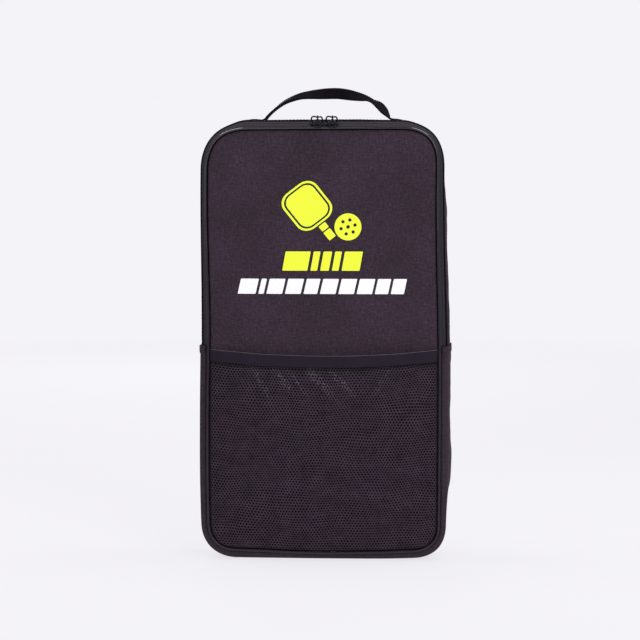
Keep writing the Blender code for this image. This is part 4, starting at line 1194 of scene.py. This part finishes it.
def slider_piece(name, x0, nose, node, body):
    L, W = SLIDER_LENGTH / 2, 4.4
    half = catmull([(-L, 0.0), (-L + 0.1, W * 0.5), (-L + 0.9, W * 0.74), (-L + 3.4, W * 0.97), (0.0, W), (L - 2.4, W),
                    (L - 0.8, W * 0.84), (L - 0.1, W * 0.5), (L - 0.9, W * 0.16), (L - 1.2, 0.0)], 4)
    out = np.concatenate([half, (half * [1, -1])[::-1][1:-1]])
    out = out * [nose, 1] + [x0, 0]
    parts = [plate(out, [(0.9, 0.42), (0.98, 0.5), (1.0, 0.8), (1.0, 1.45), (0.97, 1.75), (0.9, 1.93), (0.72, 2.02)], (x0, 0))]
    low = (out - [x0, 0]) * [0.98, 2.7 / W] + [x0, 0]
    parts.append(plate(low, [(0.9, -3.33), (1.0, -3.2), (1.0, -2.7), (0.93, -2.56)], (x0, 0)))
    wx = x0 + nose * (L - 3.2)
    post = catmull([(wx - 1.6, 0.0), (wx, 0.28), (wx + 1.6, 0.0), (wx, -0.28), (wx - 1.6, 0.0)], 4)[:-1]
    parts.append(plate(post, [(1.0, -3.0), (1.0, 1.0)], (wx, 0)))
    arch = catmull([(-4.7, 1.5), (-5.15, 3.6), (-5.2, 5.8), (-4.5, 7.5), (-3.0, 8.25), (-1.3, 7.9), (0.1, 7.45), (0.9, 7.4), (1.7, 7.45), (3.0, 7.75),
                    (4.4, 7.5), (5.3, 6.1), (5.3, 4.0), (4.7, 1.5)], 5)
    path = frame_point(x0 + arch[:, 0], 0.0, arch[:, 1])
    foot = 0.76 + 0.4 * np.exp(-np.minimum(arch[:, 1] - 1.5, 9) / 1.1)
    parts.append(tube(path, foot, 10, up=frame_point(0, 1, 0) - frame_point(0, 0, 0)))
    # the coil guides: two low ridges down the plate
    for v in (-2.5, 2.5):
        u = np.linspace(-3.6, 3.8, 9)
        ridge = frame_point(x0 + nose * u, v * (1 - 0.04 * u), 1.85 + 0 * u)
        parts.append(tube(ridge, 0.42 * np.sin(np.linspace(0.35, math.pi - 0.35, 9)) + 0.06, 8, up=frame_point(0, 0, 1) - frame_point(0, 0, 0)))
    P, F, U = joined(parts)
    ob = mesh_piece(name, (P + [0, SHIFT_Y, 0]) * MM, F, METAL, uv=U, sharp=38, placed=True)
    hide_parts(node)
    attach(ob, body)
    return ob


BAR = frame_point(0.0, 0.0, BAR_N)


def pull_piece(name, x0, node, body):
    down = np.array((0.0, -math.sin(PULL_LEAN), -math.cos(PULL_LEAN)))
    outw = np.array((0.0, -math.cos(PULL_LEAN), math.sin(PULL_LEAN)))
    o = np.array((x0, BAR[1], BAR[2]))
    # ring round the bar
    n = 20
    sec = [(-0.5, 1.08), (-0.65, 1.2), (-0.65, 1.6), (-0.45, 1.75), (0.45, 1.75), (0.65, 1.6), (0.65, 1.2), (0.5, 1.08), (-0.5, 1.08)]
    P = []
    for i in range(n + 1):
        a = TAU * i / n
        P.append([o + np.array((sx, r * math.cos(a), r * math.sin(a))) for sx, r in sec])
    P = np.array(P)
    parts = [(P.reshape(-1, 3), grid_faces(n + 1, len(sec)), arc_uv(P))]
    # tab with its slot: loops between the outline and the slot
    end = PULL_LENGTH
    outer = rounded_poly([(-0.9, 1.6), (-1.7, 3.2), (-3.9, 5.8), (-3.9, end - 0.9), (-3.1, end), (3.1, end), (3.9, end - 0.9), (3.9, 5.8), (1.7, 3.2), (0.9, 1.6)], 0.9, 4)
    outer = resample(outer + outer[:1], 0.8)[:-1]
    c = np.array((0.0, end - 2.9))
    slot_ = rounded_poly([(-2.5, end - 3.75), (-2.5, end - 2.05), (2.5, end - 2.05), (2.5, end - 3.75)], 0.8, 6)
    slot_ = resample(slot_ + slot_[:1], 0.15)[:-1]
    ang_o = np.arctan2(outer[:, 1] - c[1], outer[:, 0] - c[0])
    ang_s = np.arctan2((slot_[:, 1] - c[1]) * 2.9, slot_[:, 0] - c[0])
    inner = np.array([slot_[int(np.argmin(np.abs(np.angle(np.exp(1j * (ang_s - a))))))] for a in ang_o])
    loops = [(inner, 0.34), (inner + (outer - inner) * 0.10, 0.55), (inner + (outer - inner) * 0.5, 0.62),
             (inner + (outer - inner) * 0.9, 0.55), (outer, 0.34)]
    rings = []
    for q, w in loops:
        rings.append(o + q[:, :1] * np.array((1.0, 0, 0)) + q[:, 1:2] * down + w * outw)
    for q, w in loops[::-1]:
        rings.append(o + q[:, :1] * np.array((1.0, 0, 0)) + q[:, 1:2] * down - w * outw)
    rings.append(rings[0])
    P = np.array(rings).transpose(1, 0, 2)
    P = np.concatenate([P, P[:1]])
    parts.append((P.reshape(-1, 3), grid_faces(P.shape[0], P.shape[1]), arc_uv(P)))
    P, F, U = joined(parts)
    ob = mesh_piece(name, (P + [0, SHIFT_Y, 0]) * MM, F, METAL, uv=U, sharp=45, placed=True)
    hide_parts(node)
    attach(ob, body)
    return ob


slider_piece("zipper_slider_left", SLIDER_X[0], 1, "slider_left", "slider_l")
slider_piece("zipper_slider_right", SLIDER_X[1], -1, "slider_right", "slider_r")
pull_piece("zipper_pull_left", SLIDER_X[0] + 0.9, "pull_left", "pull_l")
pull_piece("zipper_pull_right", SLIDER_X[1] + 0.9, "pull_right", "pull_r")

# ---- the webbing handle ---------------------------------------------------------------------------------
WEB_HALF, WEB_T = 10.8, 1.7
# (x, z) of the ridge line, the fold angle and the roll about the strap's own line in degrees
RIDGE = [
    (-88.0, 431.5, 0, 0), (-84.0, 434.5, 0, 0), (-79.5, 437.2, 0, 0), (-74.0, 438.9, 0, 0), (-68.5, 439.3, 0, 0), (-64.0, 439.3, 0, 0),
    (-61.0, 440.6, 1, 0), (-58.4, 443.6, 2, 0), (-54.5, 447.6, 4, 0), (-49.0, 452.3, 8, 0), (-40.5, 458.1, 16, 0), (-28.0, 463.6, 30, 0),
    (-18.0, 466.0, 44, 0), (-8.0, 467.6, 62, 0), (2.0, 468.6, 80, 0), (12.0, 468.6, 86, 0), (21.0, 467.4, 78, 0), (30.0, 465.2, 58, 0),
    (38.0, 462.6, 38, 0), (44.0, 460.0, 20, 3), (48.5, 457.3, 8, 10), (54.0, 452.8, 0, 19), (59.0, 448.0, 0, 19), (62.8, 443.6, 0, 10),
    (65.8, 440.2, 0, 1), (69.5, 439.4, 0, 0), (75.0, 439.0, 0, 0), (80.5, 437.8, 0, 0), (85.5, 435.9, 0, 0), (89.5, 433.3, 0, 0), (91.6, 432.4, 0, 0),
    (92.6, 433.4, 0, 0),
]


def handle():
    k = catmull(RIDGE, 8)
    path = resample(k, 0.5)
    g = np.gradient(path[:, :2], axis=0)
    g /= np.linalg.norm(g, axis=1)[:, None]
    nrm = np.stack([-g[:, 1], g[:, 0]], 1)
    s = np.concatenate([[0], np.cumsum(np.linalg.norm(np.diff(path[:, :2], axis=0), axis=1))])
    phi, roll = np.radians(path[:, 2]), np.radians(path[:, 3])
    na = 24
    a = np.linspace(0, WEB_HALF, na)
    fold = np.clip(a / 1.7, 0, 1)
    rings = []
    rib = 0.2 * np.sin(TAU * s / 2.1)
    sag = 0.25 * waves(s, 0 * s, 61, 30)
    for i in range(len(path)):
        th = phi[i] * fold
        y = np.concatenate([[0], np.cumsum(np.cos((th[1:] + th[:-1]) / 2) * np.diff(a))])
        m = -np.concatenate([[0], np.cumsum(np.sin((th[1:] + th[:-1]) / 2) * np.diff(a))])
        cy = np.concatenate([-y[::-1], y[1:]])
        cn = np.concatenate([m[::-1], m[1:]])
        ta = np.concatenate([-th[::-1], th[1:]])           # direction angle of the section's line
        t = WEB_T / 2 * (1 + 0.0 * cy) + rib[i] * np.minimum(1, (WEB_HALF - np.abs(np.linspace(-WEB_HALF, WEB_HALF, 2 * na - 1))) / 0.9)
        t[[0, -1]] = WEB_T * 0.28
        ny, nn = np.sin(ta), np.cos(ta)
        top = np.stack([cy + ny * t, cn + nn * t], 1)
        low = np.stack([cy - ny * t, cn - nn * t], 1)
        ring = np.concatenate([top, low[::-1], top[:1]])
        cr, sr = math.cos(roll[i]), math.sin(roll[i])
        ring = np.stack([ring[:, 0] * cr - ring[:, 1] * sr, ring[:, 0] * sr + ring[:, 1] * cr], 1)
        yy = HANDLE_Y + ring[:, 0] + sag[i] * (1 if path[i, 2] > 1 else 0.0)
        rings.append(np.stack([path[i, 0] + nrm[i, 0] * ring[:, 1], yy, path[i, 1] + nrm[i, 1] * ring[:, 1]], 1))
    P = np.array(rings)
    nu, nv = P.shape[:2]
    faces = grid_faces(nu, nv)
    m = 2 * na - 1
    for b in (0, (nu - 1) * nv):
        for j in range(m - 1):
            faces.append([b + j, b + j + 1, b + 2 * m - 2 - j, b + 2 * m - 1 - j])
    v = np.concatenate([np.linspace(0, 2 * WEB_HALF, m), np.linspace(2 * WEB_HALF, 0, m), [0]])
    U, V = np.meshgrid(s, v, indexing="ij")
    return mesh_piece("carry_strap", P.reshape(-1, 3), faces, WEB, uv=np.stack([U.ravel(), V.ravel()], 1), sharp=50)


# the sewn ends follow the gusset's arched top from front to back
strap = handle()


def drape_ends(ob):
    """Lays the strap's ends on the gusset's cross-section, which falls away to front and back."""
    L = UPPER_CLOTH
    me = ob.data
    co = np.zeros(len(me.vertices) * 3)
    me.vertices.foreach_get("co", co)
    co = co.reshape(-1, 3) / MM
    d = co[:, 1] - SHIFT_Y + HALF_DEPTH
    crown = np.interp(29.0, L[:, 0], L[:, 1])
    fall = np.interp(np.clip(d, 13, 50), L[:, 0], L[:, 1]) - crown
    w = 1 - step(co[:, 2], 441.0, 446.0)
    ends = np.where(co[:, 0] < 0, 1 - step(co[:, 0], -64, -56), step(co[:, 0], 58, 66))
    co[:, 2] += fall * w * ends
    me.vertices.foreach_set("co", (co * MM).ravel())
    me.update()


drape_ends(strap)
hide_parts("handle_webbing", "handle_anchor_left", "handle_anchor_right")
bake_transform(strap)


def anchor_stitches(name, x0, x1):
    """Box with a cross, through the strap's sewn end."""
    k = catmull(RIDGE, 8)
    ys = (-8.6, 8.6)

    def pt(x, y):
        z = np.interp(x, k[:, 0], k[:, 1]) + WEB_T / 2 + 0.02
        L = UPPER_CLOTH
        d = HANDLE_Y + y + HALF_DEPTH
        z = z + np.interp(d, L[:, 0], L[:, 1]) - np.interp(29.0, L[:, 0], L[:, 1])
        return np.array((x, HANDLE_Y + y, z))

    lines = [((x0, ys[0]), (x1, ys[0])), ((x1, ys[0]), (x1, ys[1])), ((x1, ys[1]), (x0, ys[1])), ((x0, ys[1]), (x0, ys[0])),
             ((x0, ys[0]), (x1, ys[1])), ((x0, ys[1]), (x1, ys[0]))]
    A, B = [], []
    for (xa, ya), (xb, yb) in lines:
        n = max(2, int(math.hypot(xb - xa, yb - ya) / 2.9))
        for i in range(n):
            t0, t1 = (i + 0.12) / n, (i + 0.88) / n
            A.append(pt(xa + (xb - xa) * t0, ya + (yb - ya) * t0))
            B.append(pt(xa + (xb - xa) * t1, ya + (yb - ya) * t1))
    return stitch_mesh(name, A, B, np.tile([0, 0, 1.0], (len(A), 1)), 0.27)


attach(anchor_stitches("stitch_strap_left", -84.0, -68.0), "case")
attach(anchor_stitches("stitch_strap_right", 71.0, 88.0), "case")

# ---- floor, light, camera --------------------------------------------------------------------------------
me = bpy.data.meshes.new("floor")
n = 96
ring = [(3.2 * math.cos(TAU * i / n), 3.2 * math.sin(TAU * i / n), 0.0) for i in range(n)]
me.from_pydata(ring, [], [list(range(n))])
floor = bpy.data.objects.new("floor", me)
bpy.context.scene.collection.objects.link(floor)
BACK = (0.905, 0.893, 0.936)
fm = bpy.data.materials.new("floor_paper")
fm.use_nodes = True
nt = fm.node_tree
nt.nodes.clear()
o = nt.nodes.new("ShaderNodeOutputMaterial")
tc = nt.nodes.new("ShaderNodeTexCoord")
ln = nt.nodes.new("ShaderNodeVectorMath")
ln.operation = "LENGTH"
mr = nt.nodes.new("ShaderNodeMapRange")
mr.inputs[1].default_value, mr.inputs[2].default_value = 0.9, 2.6
em = nt.nodes.new("ShaderNodeEmission")
em.inputs[0].default_value = (*BACK, 1.0)
em.inputs[1].default_value = 0.80
df = nt.nodes.new("ShaderNodeBsdfDiffuse")
df.inputs[0].default_value = (0.150, 0.148, 0.155, 1.0)
ad = nt.nodes.new("ShaderNodeAddShader")
tr = nt.nodes.new("ShaderNodeBsdfTransparent")
mx = nt.nodes.new("ShaderNodeMixShader")
nt.links.new(tc.outputs["Object"], ln.inputs[0])
nt.links.new(ln.outputs["Value"], mr.inputs[0])
nt.links.new(em.outputs[0], ad.inputs[0])
nt.links.new(df.outputs[0], ad.inputs[1])
nt.links.new(mr.outputs[0], mx.inputs[0])
nt.links.new(ad.outputs[0], mx.inputs[1])
nt.links.new(tr.outputs[0], mx.inputs[2])
nt.links.new(mx.outputs[0], o.inputs[0])
me.materials.append(fm)

world = bpy.data.worlds.new("studio")
bpy.context.scene.world = world
world.use_nodes = True
wt = world.node_tree
bg = wt.nodes["Background"]
bg.inputs[0].default_value = (*BACK, 1.0)
bg.inputs[1].default_value = 1.0
dim = wt.nodes.new("ShaderNodeBackground")          # what lights the object is softer than the white behind it
dim.inputs[0].default_value = (0.95, 0.93, 1.0, 1.0)
dim.inputs[1].default_value = 0.50
pick, path_ = wt.nodes.new("ShaderNodeMixShader"), wt.nodes.new("ShaderNodeLightPath")
wt.links.new(path_.outputs["Is Camera Ray"], pick.inputs[0])
wt.links.new(dim.outputs[0], pick.inputs[1])
wt.links.new(bg.outputs[0], pick.inputs[2])
wt.links.new(pick.outputs[0], wt.nodes["World Output"].inputs[0])


def area(name, loc, target, size, power, colour=(1, 1, 1), size_y=None):
    li = bpy.data.lights.new(name, "AREA")
    li.shape = "RECTANGLE"
    li.size, li.size_y = size, size_y or size
    li.energy = power
    li.color = colour
    ob = bpy.data.objects.new(name, li)
    ob.location = loc
    ob.rotation_mode = "QUATERNION"
    ob.rotation_quaternion = (Vector(target) - Vector(loc)).to_track_quat("-Z", "Y")
    ob.visible_camera = False
    bpy.context.scene.collection.objects.link(ob)
    return ob


area("key_box", (1.1, -1.75, 1.2), (0, 0, 0.22), 1.2, 20.5)
area("fill_box", (-0.55, -2.05, 0.75), (0, 0, 0.22), 1.1, 8.4)
area("strip_left", (-0.56, 0.10, 1.40), (-0.56, 0.10, 0.0), 0.62, 7.0, size_y=0.55)
area("strip_right", (0.58, 0.10, 1.40), (0.58, 0.10, 0.0), 0.62, 7.0, size_y=0.55)
area("back_box", (-0.35, 2.1, 0.85), (0, 0, 0.22), 0.9, 14.0)

cam_data = bpy.data.cameras.new("camera")
cam_data.lens, cam_data.sensor_width = 125.0, 36.0
cam = bpy.data.objects.new("camera", cam_data)
bpy.context.scene.collection.objects.link(cam)
bpy.context.scene.camera = cam
yaw, tilt_a, dist = math.radians(2.5), math.radians(4.5), 2.2
target = Vector((-0.005, -0.023, 0.2399))
back_dir = Vector((math.sin(yaw) * math.cos(tilt_a), -math.cos(yaw) * math.cos(tilt_a), math.sin(tilt_a)))
cam.location = target + back_dir * dist
cam.rotation_mode = "QUATERNION"
cam.rotation_quaternion = (-back_dir).to_track_quat("-Z", "Y")
cam_data.clip_start, cam_data.clip_end = 0.05, 50.0
bpy.context.scene.view_settings.view_transform = "Standard"
